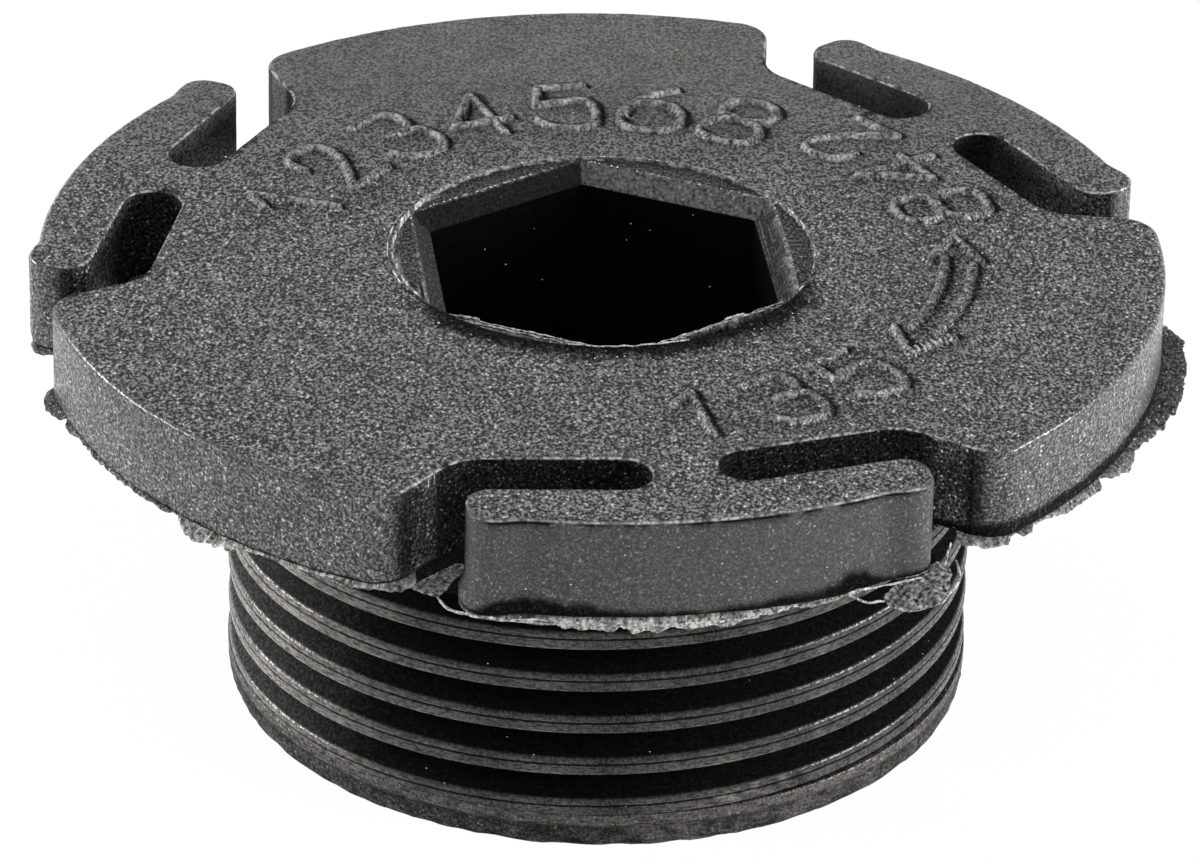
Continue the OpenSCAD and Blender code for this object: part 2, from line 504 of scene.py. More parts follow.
def mark_tones(points, strokes):
    """Painted light on the marks: a beaded highlight on one side, shade to the foot of the other.
    """
    targets = np.vstack(strokes)
    distance, number = nearest(points, targets)
    spots = lift(points, 0)
    side = (points - targets[number]) @ np.array(PALE_SIDE) / (STROKE_W / 2)
    beads = smooth(0.52 + 1.3 * waves(spots, 0.2, 13) + 0.6 * waves(spots, 0.8, 14))
    ridge = smooth((STROKE_W / 2 + 0.06 - distance) / 0.08)
    foot = smooth((STROKE_W / 2 + 0.22 - distance) / 0.1)
    # The ribs of the lower barb get painted highlight on their crests and painted shade between
    # them
    rib = ribs(points)
    wear_and_highlight = 0.9 * ridge * beads * smooth(0.38 + 0.9 * side) + 0.8 * smooth(rib)
    soot_and_shade = foot * smooth((0.25 - side) / 0.9) * 0.92 + 0.9 * smooth(-2 * rib)
    return np.clip(soot_and_shade, 0, 1), np.clip(wear_and_highlight, 0, 1)


def top_height(points, strokes):
    """How far the head's top stands over its plane: marks, rim round the socket, ripple."""
    spots = lift(points, 0)
    distance = nearest_distance(points, np.vstack(strokes))
    distance += 0.02 * waves(spots, 0.25, 11)
    rise = smooth((STROKE_W / 2 + MARK_EDGE_W / 2 - distance) / MARK_EDGE_W)
    height = MARK_H * rise * (1 + 0.25 * waves(spots, 0.4, 12))
    height += 0.006 * waves(spots, 1.3, 1) + 0.03 * ribs(points)
    return height + mouth_rim(points)


# Widths of the painted shade along the near side of the mouth: the dark strip, and the black line
# at its edge
NEAR_SHADE_W = 1.5
EDGE_SHADE_W = 0.26


def add_top(shape, border, mouth, strokes):
    """The face of the head from its border to the socket's mouth, with its marks."""
    flat, faces = fill(border, mouth, MOUTH_R, [top_points(border, strokes)])
    height = top_height(flat, strokes)
    height[nearest_distance(flat, border) < 1e-4] = 0
    rim = nearest_distance(flat, mouth) < 1e-4
    height[rim] = mouth_rim(flat[rim])
    away = np.hypot(*flat.T) - MOUTH_R
    spots = lift(flat, 0)
    near = near_mouth(flat)
    # Painted shade on the near side of the mouth: a dark strip, and a black line at its edge
    near_shade = near * smooth(1.1 - away / NEAR_SHADE_W + 0.2 * waves(spots, 0.5, 9))
    line = smooth(2 * near) * smooth((EDGE_SHADE_W + 0.1 * waves(spots, 0.4, 18) - away) / 0.1)
    # The far side has a broken pale lip
    lip = (1 - near) * smooth(1 - np.abs(away - 0.05) / 0.09) * (0.3 + 0.9 * waves(spots, 0.2, 10))
    soot_and_shade, wear_and_highlight = mark_tones(flat, strokes)
    soot_and_shade = np.maximum.reduce([0.93 * near_shade ** 1.2, line, soot_and_shade])
    wear_and_highlight = np.clip(wear_and_highlight + lip, 0, 1)
    shape.add(lift(flat, TOP_Z + height), faces, GRAINED, soot_and_shade, wear_and_highlight)


BOTTOM_ROUND = 0.12
WALL_STEP = 0.29
# Height of the row of faces just under the rounded upper edge
EDGE_ROW = 0.05
# The foot of the front finger's left end flares outwards a little
FLARE_PLACE = (-4.1, -16.5)
FLARE_W = 0.2
FLARE_TOP = 0.75
# The faces of the fingers curl under at their lower edge
CURL_H = 0.6
CURL_W = 0.22
# How far the lower edge of the front finger hangs below the others, half the angle over which it
# does, and where along the finger it ends on the right and how softly
SAG = 0.28
SAG_SPAN = 26
SAG_END = 6.9
SAG_FADE = 3
# The band of painted shade along the lower edge of a finger: its height and, as places along the
# finger with their width and height, the humps on it
DARK_BAND_H = 0.22
DARK_HUMPS = ((-5.7, 1.5, 0.35), (-3.5, 1.3, 0.18), (2.6, 1.8, 0.16), (4.6, 0.75, 0.45))
# A strip of painted shade runs under the upper edge of the fingers' faces: depths below the top,
# and how dark it is at each
STRIP_DEPTHS = (0.04, 0.07, 0.12, 0.17, 0.4)
STRIP_SHADE = (0, 0.95, 0.85, 0.45, 0)
# The same painted shade is fainter on the left lobe, where it dims the edge's glint
LEFT_STRIP = 0.5
# A thin painted highlight, a glint line, on the edges to the front: its heights, and how strong it
# is at each
GLINT_LINE_HEIGHTS = (TOP_Z - 0.066, TOP_Z - 0.04, TOP_Z - 0.01, TOP_Z)
GLINT_LINE = (0, 1, 0.9, 0.2)
# Half the angle between the ends of a finger's face, and how far it fades there
FACE_SPAN = 23.5
FACE_FADE = 3
# The slots get a darker, duller finish, as painted shade, from this far inside the rim. The front
# finger has its own finish: half its angle, and how far in its finish reaches.
SLOT_FINISH_IN = 0.8
FRONT_SPAN = 25
FRONT_FINISH_IN = 1.9


def finger_turn(points):
    """Angle from each point to the nearest finger's middle, counter-clockwise."""
    angles = np.degrees(np.arctan2(points[:, 1], points[:, 0]))
    away = np.array([(angles - finger[0] + 180) % 360 - 180 for finger in FINGERS])
    return away[np.abs(away).argmin(axis=0), np.arange(len(points))]


def finger_face(points):
    """1 on the outer face of a finger, fading to 0 towards its tips."""
    away = np.abs(finger_turn(points))
    return smooth((FACE_SPAN - away) / FACE_FADE) * (np.hypot(*points.T) > RIM_R - 0.3)


def finger_sag(points):
    """How far the lower edge of the head hangs below its plane."""
    turn = np.degrees(np.arctan2(points[:, 1], points[:, 0])) - FINGERS[0][0]
    on = smooth((np.hypot(*points.T) - RIM_R + FINGER_W + 0.65) / 0.6)
    on = on * smooth((SAG_SPAN + turn) / 1.2)
    end = smooth((SAG_END - np.radians(turn) * RIM_R) / SAG_FADE)
    return SAG * on * (np.abs(turn) < SAG_SPAN) * end


def sagged(rows, outline):
    """The rows of the walls with the lower half of the front finger pulled down."""
    sag = finger_sag(outline)
    return [row - np.outer(sag * smooth(1 - row[:, 2] / (TOP_Z / 2)), (0, 0, 1)) for row in rows]


def wall_profile():
    """(inset as a share of the edge's round, height) pairs, from the top face down."""
    turn = np.radians(np.linspace(0, 90, 5))
    rows = [(TOP_ROUND * (1 - math.sin(t)), TOP_Z - TOP_ROUND * (1 - math.cos(t))) for t in turn]
    edge_z = TOP_Z - TOP_ROUND - EDGE_ROW
    count = math.ceil((edge_z - CURL_H) / WALL_STEP)
    rows += [(0, z) for z in np.linspace(edge_z, CURL_H, count + 1)]
    rows += [(0, z) for z in np.linspace(CURL_H, BOTTOM_ROUND, 6)[1:]]
    turn = np.radians(np.linspace(0, 90, 4))[1:]
    rows += [(BOTTOM_ROUND * (1 - math.cos(t)), BOTTOM_ROUND * (1 - math.sin(t))) for t in turn]
    return rows


def wall_rows(outline, normals):
    """The side of the head as rows of points, from the border of its top to its underside."""
    rows = []
    face = finger_face(outline)
    spots = lift(outline, 0)
    edge = 1 + 0.35 * waves(spots, 0.35, 21) + 0.3 * waves(spots, 1.5, 22)
    curl = CURL_W * face * (1 + 0.5 * waves(spots, 1.8, 23))
    flare = FLARE_W * np.exp(-(nearest_distance(outline, np.array([FLARE_PLACE])) / 0.7) ** 2)
    for inset, z in wall_profile():
        row = lift(outline, z)
        move = -inset * (edge if z > CURL_H else 1)
        if inset == 0:
            move = 0.006 * waves(row, 0.4, 3) + 0.02 * waves(row, 2.5, 4)
        low = np.clip((CURL_H - z) / CURL_H, 0, 1)
        move = move - curl * (1 - np.sqrt(1 - 0.98 * low ** 2))
        move = move + flare * smooth((FLARE_TOP - z) / 0.25)
        row[:, :2] += normals * move[:, None]
        rows.append(row)
    return rows


def wall_shade(outline, rows):
    """Painted shade on the wall rows, point by point: lower edges, upper strip, slots and bays."""
    radius = np.hypot(*outline.T)
    face = finger_face(outline)
    along = np.radians(finger_turn(outline)) * RIM_R
    spots = lift(outline, 0)
    band = DARK_BAND_H + 0.1 * waves(spots, 0.9, 24) + 0.05 * waves(spots, 0.25, 25)
    for place, half, rise in DARK_HUMPS:
        band += rise * np.exp(-((along - place) / half) ** 2)
    # A painted shadow line runs over the flash, wider along the lower edge of the right lobe
    right = smooth((outline[:, 0] - 9) / 3) * smooth(-outline[:, 1] / 4) * (1 - face)
    band = band * face + (0.13 + 0.08 * waves(spots, 0.7, 26)) * (1 - face) + 0.4 * right
    # Painted shade darkens the walls just inside the rim and deep in the slots, and less so between
    inner = 0.75 * smooth((RIM_R - 0.05 - radius) / 0.7)
    inner -= 0.55 * smooth((RIM_R - 0.8 - radius) / 0.4)
    inner += 0.55 * smooth((15.7 - radius) / 0.6)
    blur = 0.08 + 0.14 * np.maximum(face, right)
    left = smooth((-outline[:, 0] - 6) / 4) * smooth(-outline[:, 1] / 3)
    strip = face * smooth(0.85 + waves(spots, 0.9, 30) + 0.6 * waves(spots, 0.2, 31))
    strip += LEFT_STRIP * (1 - face) * left
    soot_and_shade = []
    for row in rows:
        cloud = 0.08 * waves(row, 0.22, 29) * face
        upper = np.interp(TOP_Z - row[:, 2], STRIP_DEPTHS, STRIP_SHADE)
        lower = smooth(0.5 + (band + cloud - row[:, 2]) / (2 * blur))
        soot_and_shade.append(np.maximum.reduce([inner, lower, upper * strip]))
    return np.array(soot_and_shade)


def wall_glint(outline, normals, rows):
    """Painted highlight on the wall rows: broken pale glint lines on the edges to the front."""
    radius = np.hypot(*outline.T)
    slot_edge = smooth((RIM_R - 0.35 - radius) / 0.3) * smooth((0.55 - normals[:, 1]) / 0.5)
    edge = np.maximum(slot_edge, finger_face(outline)) + 0.08
    spots = lift(outline, 0)
    broken = smooth(0.65 + 0.8 * waves(spots, 0.5, 27) + 0.7 * waves(spots, 0.16, 28))
    heights = np.array([row[:, 2].mean() for row in rows])
    share = np.interp(heights, GLINT_LINE_HEIGHTS, GLINT_LINE)
    return share[:, None] * edge * broken


def wall_finishes(outline):
    """Finish of each column of the walls: the slots' painted shade, the front finger, and the rest.
    """
    radius = np.hypot(*outline.T)
    finishes = np.where(radius < RIM_R - SLOT_FINISH_IN, SLOT_SHADE, SATIN)
    front = outline @ unit(FINGERS[0][0]) > radius * unit(FRONT_SPAN)[0]
    return np.where(front & (radius > RIM_R - FRONT_FINISH_IN), SMOOTH, finishes)


def add_underside(shape, border, collar):
    """The face between the lower edge of the walls and the collar."""
    flat, faces = fill(border[:, :2], collar, COLLAR_R - 0.01)
    distance, number = nearest(flat, border[:, :2])
    height = np.where(distance < 1e-4, border[number, 2], 0)
    shape.add(lift(flat, height), faces[:, ::-1], SATIN)


def circle(radius, count):
    return np.array([radius * unit(360 * k / count) for k in range(count)])


def hexagon(apothem, count):
    """A hexagon with its corners cut by the mouth's circle, and a point at each angle of that."""
    out = []
    for k in range(count):
        angle = 360 * k / count
        off = (angle - SOCKET_ANGLE) % 60 - 30
        out.append(min(apothem / math.cos(math.radians(off)), MOUTH_R - 0.02) * unit(angle))
    return np.array(out)


SOCKET_COLUMNS = 540
HEX_ROUND = 0.05
# The ledge round the hexagon lies deeper on the near side, where it is torn
NEAR_DROP = 0.1
# Knots of torn plastic on the ledge: their direction, and half their width in degrees
KNOTS = ((-47, 1.6), (-131, 1.4))
# Rows of the lead-in, by share of the way up, and how deep a scratch runs along each
LEAD_IN_ROWS = (
    (0.04, 0.1), (0.17, 0), (0.2, 0.4), (0.23, 0), (0.47, 0), (0.5, 0.35), (0.53, 0), (0.74, 0.15),
    (0.9, 0.25), (1, 0),
)
# The lead-in's flats, counter-clockwise from SOCKET_ANGLE: how dark and how pale they are painted,
# and 1 where scratched. They are black on the left and paler on the far right.
LEAD_IN_FLATS = (
    (0.33, 0.16, 0), (0.92, 0.02, 0), (0.62, 0.04, 0), (0.5, 0.05, 0), (0.5, 0.05, 0),
    (0.66, 0.03, 1),
)
# Rows of the ledge, by share of the way from the hexagon to the mouth's circle
LEDGE_ROWS = (0, 0.05, 0.1, 0.16, 0.22, 0.29, 0.36, 0.44, 0.54, 0.66, 0.8, 0.92, 0.97, 1)


def ledge(angles, share, gap):
    """Height over the ledge, darkness and paleness at a share of the way from the hexagon to the
    circle.
    """
    spots = lift(MOUTH_R * np.array([unit(a) for a in angles]), share)
    turn = (angles + 180) % 360 - 180

    def zone(first, last, blur=6):
        return smooth((turn - first) / blur) * smooth((last - turn) / blur)

    rough = waves(spots, 0.5, 41)
    fine = waves(spots, 0.16, 42)
    right = zone(-80, -20)
    left = zone(-160, -84)
    wide = np.clip(gap / 0.5, 0, 1)
    # Right of the near corner a torn ribbon stands along the hexagon, with a gap outside it that is
    # painted black as shade
    reach = share * gap
    knot = sum(np.exp(-((turn - place) / half) ** 2) for place, half in KNOTS)
    ribbon = smooth((0.17 + 0.1 * rough + 0.15 * knot - reach) / 0.06)
    height = right * wide * (ribbon * (0.06 + 0.09 * rough + 0.05 * fine) - 0.14 * (1 - ribbon))
    height = height + (reach < 0.3) * knot * 0.07
    soot_and_shade = right * (1 - ribbon)
    wear_and_highlight = right * ribbon * (0.45 + 1.3 * fine)
    # Left of it the ledge is bare and painted darker up to a groove painted black as shade, with a
    # pale thread on either side
    groove = smooth((reach - 0.34 - 0.06 * rough) / 0.05)
    height = height - left * wide * groove * 0.14 + left * wide * 0.03 * fine
    soot_and_shade = np.maximum(soot_and_shade, left * groove)
    thread = np.exp(-((reach - 0.24 - 0.06 * rough) / 0.04) ** 2) + (reach < 0.06) + knot
    height = height + left * wide * (1 - groove) * thread * 0.05
    wear_and_highlight = wear_and_highlight + left * (1 - groove) * (0.02 + 0.85 * thread * (0.7 + 0.8 * fine))
    soot_and_shade = np.maximum(soot_and_shade, 0.6 * left * (1 - np.clip(2 * thread, 0, 1)))
    # At the corner itself only a thin pale line is left
    wear_and_highlight = wear_and_highlight + zone(-92, -74, 3) * 0.9
    # On the far side the edges are dotted pale
    far = 1 - np.clip(left + right, 0, 1)
    edge = np.maximum(share < 0.08, share > 0.95)
    wear_and_highlight = wear_and_highlight + far * edge * smooth(0.1 + 1.3 * waves(spots, 0.22, 43)) * 0.8
    wear_and_highlight = wear_and_highlight + (zone(140, 180) + zone(-180, -155)) * (share > 0.7) * (0.3 + 0.6 * rough)
    wear_and_highlight = wear_and_highlight + zone(-30, 50) * (share < 0.08) * 0.5
    return height, np.clip(soot_and_shade, 0, 1), np.clip(wear_and_highlight, 0, 1)


def add_socket(shape):
    """The socket from the middle of its floor up to the border of the head's top."""
    n = SOCKET_COLUMNS
    angles = np.arange(n) * 360 / n
    apothem = SOCKET_AF / 2
    mouth = apothem + WORN_LEAD_IN_W
    floor_z = TOP_Z - SOCKET_DEPTH
    circle_loop = circle(MOUTH_R, n)
    wide_loop = circle(MOUTH_R + MOUTH_ROUND, n)
    near = near_mouth(wide_loop)
    ledge_z = TOP_Z - RECESS_H - NEAR_DROP * near
    lead_z = TOP_Z - RECESS_H - WORN_LEAD_IN_H
    rows = [lift(hexagon(apothem * share, n), floor_z) for share in (1e-4, 0.5, 1)]
    rows += [lift(hexagon(apothem, n), z) for z in np.linspace(floor_z, lead_z, 4)[1:]]
    # The deep socket is painted black, as shade
    shape.band(rows, SOCKET_SHADE, soot_and_shade=1)
    flat = np.floor((angles - SOCKET_ANGLE) % 360 / 60).astype(int)
    dark_of, pale_of, scratched = np.array(LEAD_IN_FLATS)[flat].T
    rows, soot_and_shade, wear_and_highlight = [rows[-1]], [np.ones(n)], [np.zeros(n)]
    for share, scratch in LEAD_IN_ROWS:
        round_share = 0.6 if share == 0.9 else 0
        row = lift(hexagon(apothem + share * WORN_LEAD_IN_W - round_share * HEX_ROUND, n), 0)
        row[:, 2] = lead_z + share * (ledge_z - lead_z)
        soot_and_shade.append(dark_of * (share < 1))
        lines = 1.3 * scratched * scratch * smooth(0.6 + waves(row, 0.6, 45))
        wear_and_highlight.append(pale_of + lines + (share == 1) * 0.12)
        rows.append(row)
    inner = hexagon(mouth, n)
    gap = MOUTH_R - np.hypot(*inner.T)
    for share in LEDGE_ROWS:
        height, dark, worn = ledge(angles, share, gap)
        rows.append(lift(inner + (circle_loop - inner) * share, ledge_z + height * (0.02 < share)))
        soot_and_shade.append(dark)
        wear_and_highlight.append(worn)
    lip = mouth_rim(wide_loop)
    ragged = 0.5 + 0.9 * waves(lift(wide_loop, 0), 0.25, 44)
    # The mouth's rounded edge is painted black as shade on the near side, and ragged pale on the
    # far side
    for inset, drop in ((1, MOUTH_ROUND), (0.7, MOUTH_ROUND * 0.3), (0, 0)):
        row = lift(circle(MOUTH_R + MOUTH_ROUND * (1 - inset), n), TOP_Z + lip - drop)
        rows.append(row)
        soot_and_shade.append(near)
        wear_and_highlight.append(np.clip(ragged * 0.8 * (1 - near), 0, 1))
    shape.band(rows, SOCKET, soot_and_shade=np.array(soot_and_shade), wear_and_highlight=np.array(wear_and_highlight))
    return wide_loop


# Heights over the root's lower edge where the crest starts and ends, and of its middle
CREST_LOW = 0.47
CREST_HIGH = 1.12
CREST_MIDDLE = 0.795
# The crest's upper edge is rounded to this radius, from this far below it
CREST_ROUND = 0.18
CREST_EDGE = 0.2
# Height, width and depth of the fine black line along the crest, a groove painted black as shade
CREST_LINE = (0.8, 0.035, 0.03)
# Rows of the worn lower end: depth, how far inside the collar's surface they lie, and how dark they
# are painted. It is smooth down to a dark line and rough below it.
END_ROWS = (
    (0, 0.03, 0), (0.04, 0.01, 0), (0.32, 0.015, 0), (0.36, 0.03, 0.7), (0.41, 0.03, 0.6),
    (0.5, 0.03, 0.45), (0.61, 0.03, 0.38), (0.73, 0.04, 0.38), (0.85, 0.06, 0.4), (0.95, 0.09, 0.5),
    (1.04, 0.13, 0.58), (1.11, 0.18, 0.55), (1.15, 0.26, 0.65),
)
# The lower end is browner round this direction
BROWN_TURN = -62
# How far inside the collar's radius its flat face starts
END_FACE_IN = 0.6
# Where the thread is scratched
SCRATCH_TURN = -66
SCRATCH_Z = -9.7


def thread_profile():
    """(height, radius, painted shade, painted highlight) over one pitch, from the root's lower edge
    up.
    """
    root = CREST_R - THREAD_DEPTH
    line_z, line_w, line_depth = CREST_LINE
    rows = [(0, root, 1, 0), (ROOT_W, root, 1, 0), (CREST_LOW - 0.1, CREST_R - 0.16, 1, 0)]
    rows += [(CREST_LOW - 0.03, CREST_R - 0.04, 0.6, 0.1), (CREST_LOW, CREST_R - 0.01, 0, 0.22)]
    rows += [(CREST_LOW + 0.05, CREST_R, 0, 0.1), (line_z - line_w, CREST_R + 0.01, 0, 0.08)]
    rows += [(line_z + k * line_w * 0.3, CREST_R - line_depth, 1, 0) for k in (-1, 1)]
    high, edge_r = CREST_HIGH - CREST_EDGE, CREST_R - 0.005
    rows += [(line_z + line_w, CREST_R, 0, 0.12), (high, edge_r, 0, 0.08)]
    for turn, soot_and_shade in zip((15, 30, 45, 60), (0.1, 0.4, 0.8, 1)):
        across, up = unit(turn)
        z, radius = high + CREST_ROUND * up, edge_r - CREST_ROUND * (1 - across)
        rows.append((z, radius, soot_and_shade, 0.05 * (1 - soot_and_shade)))
    return rows


def profile_at(height, profile):
    """Radius, painted shade and painted highlight at some heights over the foot of the thread."""
    z, *columns = zip(*(profile + [(PITCH, *profile[0][1:])]))
    return [np.interp(height % PITCH, z, column) for column in columns]


def end_band(around):
    """Rows of the worn lower end, with how dark and how pale they are painted."""
    low = END_Z + END_BAND_H
    brown_side = smooth((around @ unit(BROWN_TURN) - 0.85) / 0.12)
    rows, soot_and_shade, wear_and_highlight = [], [], []
    for depth, inset, dark in END_ROWS:
        row = lift(around * (COLLAR_R - inset), low - depth)
        rough, fine = waves(row, 0.5, 5), waves(row, 0.16, 6)
        streak = waves(row * (0.25, 0.25, 1), 0.12, 16)
        worn = np.clip((depth - 0.35) / 0.1, 0, 1)
        row[:, :2] += around * ((rough + fine) * 0.035 * worn)[:, None]
        if 0.3 < depth < 1.15:
            row[:, 2] += (0.04 + 0.03 * (depth > 1.05)) * waves(row * (1, 1, 0), 0.7, 8)
        rows.append(row)
        soot_and_shade.append(np.clip(dark - 0.25 * worn * (rough + fine), 0, 1))
        scuffs = smooth(0.5 + rough + streak)
        bright = (0.05 + 0.14 * brown_side) * (1 + 1.1 * (depth > 1.05))
        wear_and_highlight.append(np.clip(0.2 * (1 - worn) + worn * bright * scuffs, 0, 1))
    return rows, soot_and_shade, wear_and_highlight


def add_shank(shape, columns):
    """Collar, thread and end band from the head's underside down to the middle of the end."""
    profile = thread_profile()
    foot_z = END_Z + CREST_RISE - CREST_MIDDLE
    low, high = END_Z + END_BAND_H, -COLLAR_LEN
    turns = range(math.floor((low - foot_z) / PITCH) - 1, math.ceil((high - foot_z) / PITCH) + 1)
    places = [k * PITCH + row[0] for k in turns for row in profile][::-1]
    angles = np.linspace(-90, 270, columns + 1)
    slide = foot_z + PITCH * (angles + 90) / 360
    around = np.array([unit(a) for a in angles])
    # Collar, down to where the thread starts
    rows = [lift(around * COLLAR_R, z) for z in np.linspace(0, high, 8)]
    shape.band(rows, GLOSSY, closed=False, soot_and_shade=COLLAR_SHADE)
    rows = [lift(around * COLLAR_R, high)]
    soot_and_shade, wear_and_highlight = [np.full(len(around), COLLAR_SHADE)], [np.zeros(len(around))]
    for height in places:
        z = np.clip(slide + height, low, high)
        # The profile paints shade into the roots and flanks, and highlights along the crests
        radius, dark, worn = profile_at(z - slide, profile)
        rows.append(lift(around * radius[:, None], z))
        patches = 1 + 1.2 * waves(rows[-1] * (1, 1, 0.3), 1.6, 7) + 0.8 * waves(rows[-1], 0.3, 17)
        beside = np.exp(-((angles - SCRATCH_TURN) / 11) ** 2 - ((z - SCRATCH_Z) / 0.8) ** 2)
        lines = smooth((waves(rows[-1] * (0.3, 0.3, 1), 0.14, 19) + 0.1) / 0.3)
        scratch = lines * beside * (1 - dark)
        # A painted sheen pales the crests on the left and thins the painted shade in their grooves
        glow = smooth((-around[:, 0] - 0.45) / 0.4)
        soot_and_shade.append(dark * (0.8 - 0.4 * glow) + 0.2 * (dark > 0.95) * (1 - glow))
        worn = worn * patches * (1.25 + 0.8 * glow) + 0.42 * glow * (1 - dark)
        wear_and_highlight.append(np.clip(worn + 0.4 * scratch, 0, 1))
    shape.band(rows, GLOSSY, closed=False, soot_and_shade=np.array(soot_and_shade), wear_and_highlight=np.array(wear_and_highlight))
    rows = [lift(around * profile_at(low - slide, profile)[0][:, None], low)]
    ends, end_darkness, end_wear = end_band(around)
    shape.band(rows + ends, SCUFFED, closed=False, soot_and_shade=np.array([end_darkness[0]] + end_darkness),
               wear_and_highlight=np.array([end_wear[0]] + end_wear))
    base_z = END_Z - END_DROP
    face_r = COLLAR_R - END_FACE_IN
    rows = [ends[-1], lift(around * face_r, base_z), lift(around * 0.0001, base_z)]
    shape.band(rows, SCUFFED, closed=False)


# Thin flash that hangs round the lower edge of the head. Each row is a direction, its width there,
# how far it bends down in degrees, and how pale it is torn.
FLASH = (
    (-179, 0.3, 20, 0.2), (-177, 0.14, 30, 0.3), (-175, 0.3, 25, 0.2), (-172, 0.24, 20, 0.2),
    (-170, 0.1, 20, 0.1), (-166, 0.1, 20, 0.1), (-164.8, 0.36, 15, 0.2), (-163, 0.5, 15, 0.2),
    (-161, 0.5, 20, 0.2), (-159.6, 0.3, 20, 0.2), (-159, 0.1, 20, 0.1), (-158, 0.26, 25, 0.2),
    (-156.5, 0.3, 30, 0.2), (-155, 0.14, 30, 0.1), (-150, 0.2, 35, 0.1), (-138, 0.2, 35, 0.1),
    (-136, 0.1, 30, 0.2), (-134.5, 0.42, 35, 0.6), (-131, 0.56, 40, 0.7), (-128.4, 0.42, 50, 0.7),
    (-127.2, 0.16, 50, 0.6), (-117, 0.16, 45, 0.6), (-113, 0.26, 45, 0.6), (-110, 0.4, 45, 0.6),
    (-108, 0.3, 40, 0.6), (-106.5, 0.1, 40, 0.4), (-103, 0.14, 40, 0.2), (-101.5, 0.2, 50, 0.25),
    (-97, 0.2, 55, 0.3), (-94.3, 0.22, 50, 0.6), (-93, 0.44, 60, 0.9), (-89, 0.5, 60, 0.9),
    (-87.6, 0.34, 60, 0.9), (-86.4, 0.52, 60, 0.9), (-83, 0.42, 60, 0.9), (-80, 0.5, 60, 0.9),
    (-76.5, 0.42, 60, 0.8), (-74, 0.26, 55, 0.7), (-66, 0.2, 50, 0.55), (-62, 0.1, 45, 0.5),
    (-57, 0.14, 30, 0.5), (-54, 0.25, 35, 0.6), (-50, 0.4, 35, 0.7),
    (-47.5, 0.42, 35, 0.6), (-45.6, 0.32, 35, 0.5), (-45, 0.1, 30, 0.3), (-44.3, 0.1, 30, 0.3),
    (-43.7, 0.28, 30, 0.4), (-42.6, 0.28, 30, 0.4), (-42, 0.14, 30, 0.5), (-39, 0.22, 40, 0.5),
    (-36, 0.32, 35, 0.45), (-33, 0.34, 35, 0.45), (-30.6, 0.36, 30, 0.45), (-30, 0.12, 30, 0.3),
    (-29.4, 0.12, 30, 0.3), (-28.8, 0.4, 25, 0.4), (-26, 0.58, 25, 0.4), (-24, 0.5, 20, 0.4),
    (-22.8, 0.34, 20, 0.3), (-20, 0.5, 15, 0.2),
    (-18, 0.62, 12, 0.15), (-12, 0.86, 8, 0.1), (-4, 0.93, 6, 0.1), (1, 0.85, 6, 0.1),
    (3.5, 0.6, 10, 0.1), (5.5, 0.25, 10, 0.1), (8, 0.1, 20, 0.1), (24, 0.3, 30, 0.2),
    (33, 0.1, 30, 0.2), (60, 0.14, 30, 0.2), (83, 0.3, 30, 0.2), (95, 0.1, 30, 0.2),
    (110, 0.16, 40, 0.2), (122, 0.1, 30, 0.2), (131, 0.42, 20, 0.2), (135, 0.1, 30, 0.2),
    (150, 0.2, 30, 0.2), (172, 0.12, 30, 0.2), (176, 0.4, 20, 0.2),
)
FLASH_STEP = 0.07
FLASH_THICK = 0.06
# How far the flash reaches into the head, and its greatest width
FLASH_ROOT = 0.3
FLASH_MOST = 0.95
# How high over the underside of the head it grows
FLASH_RISE = 0.07


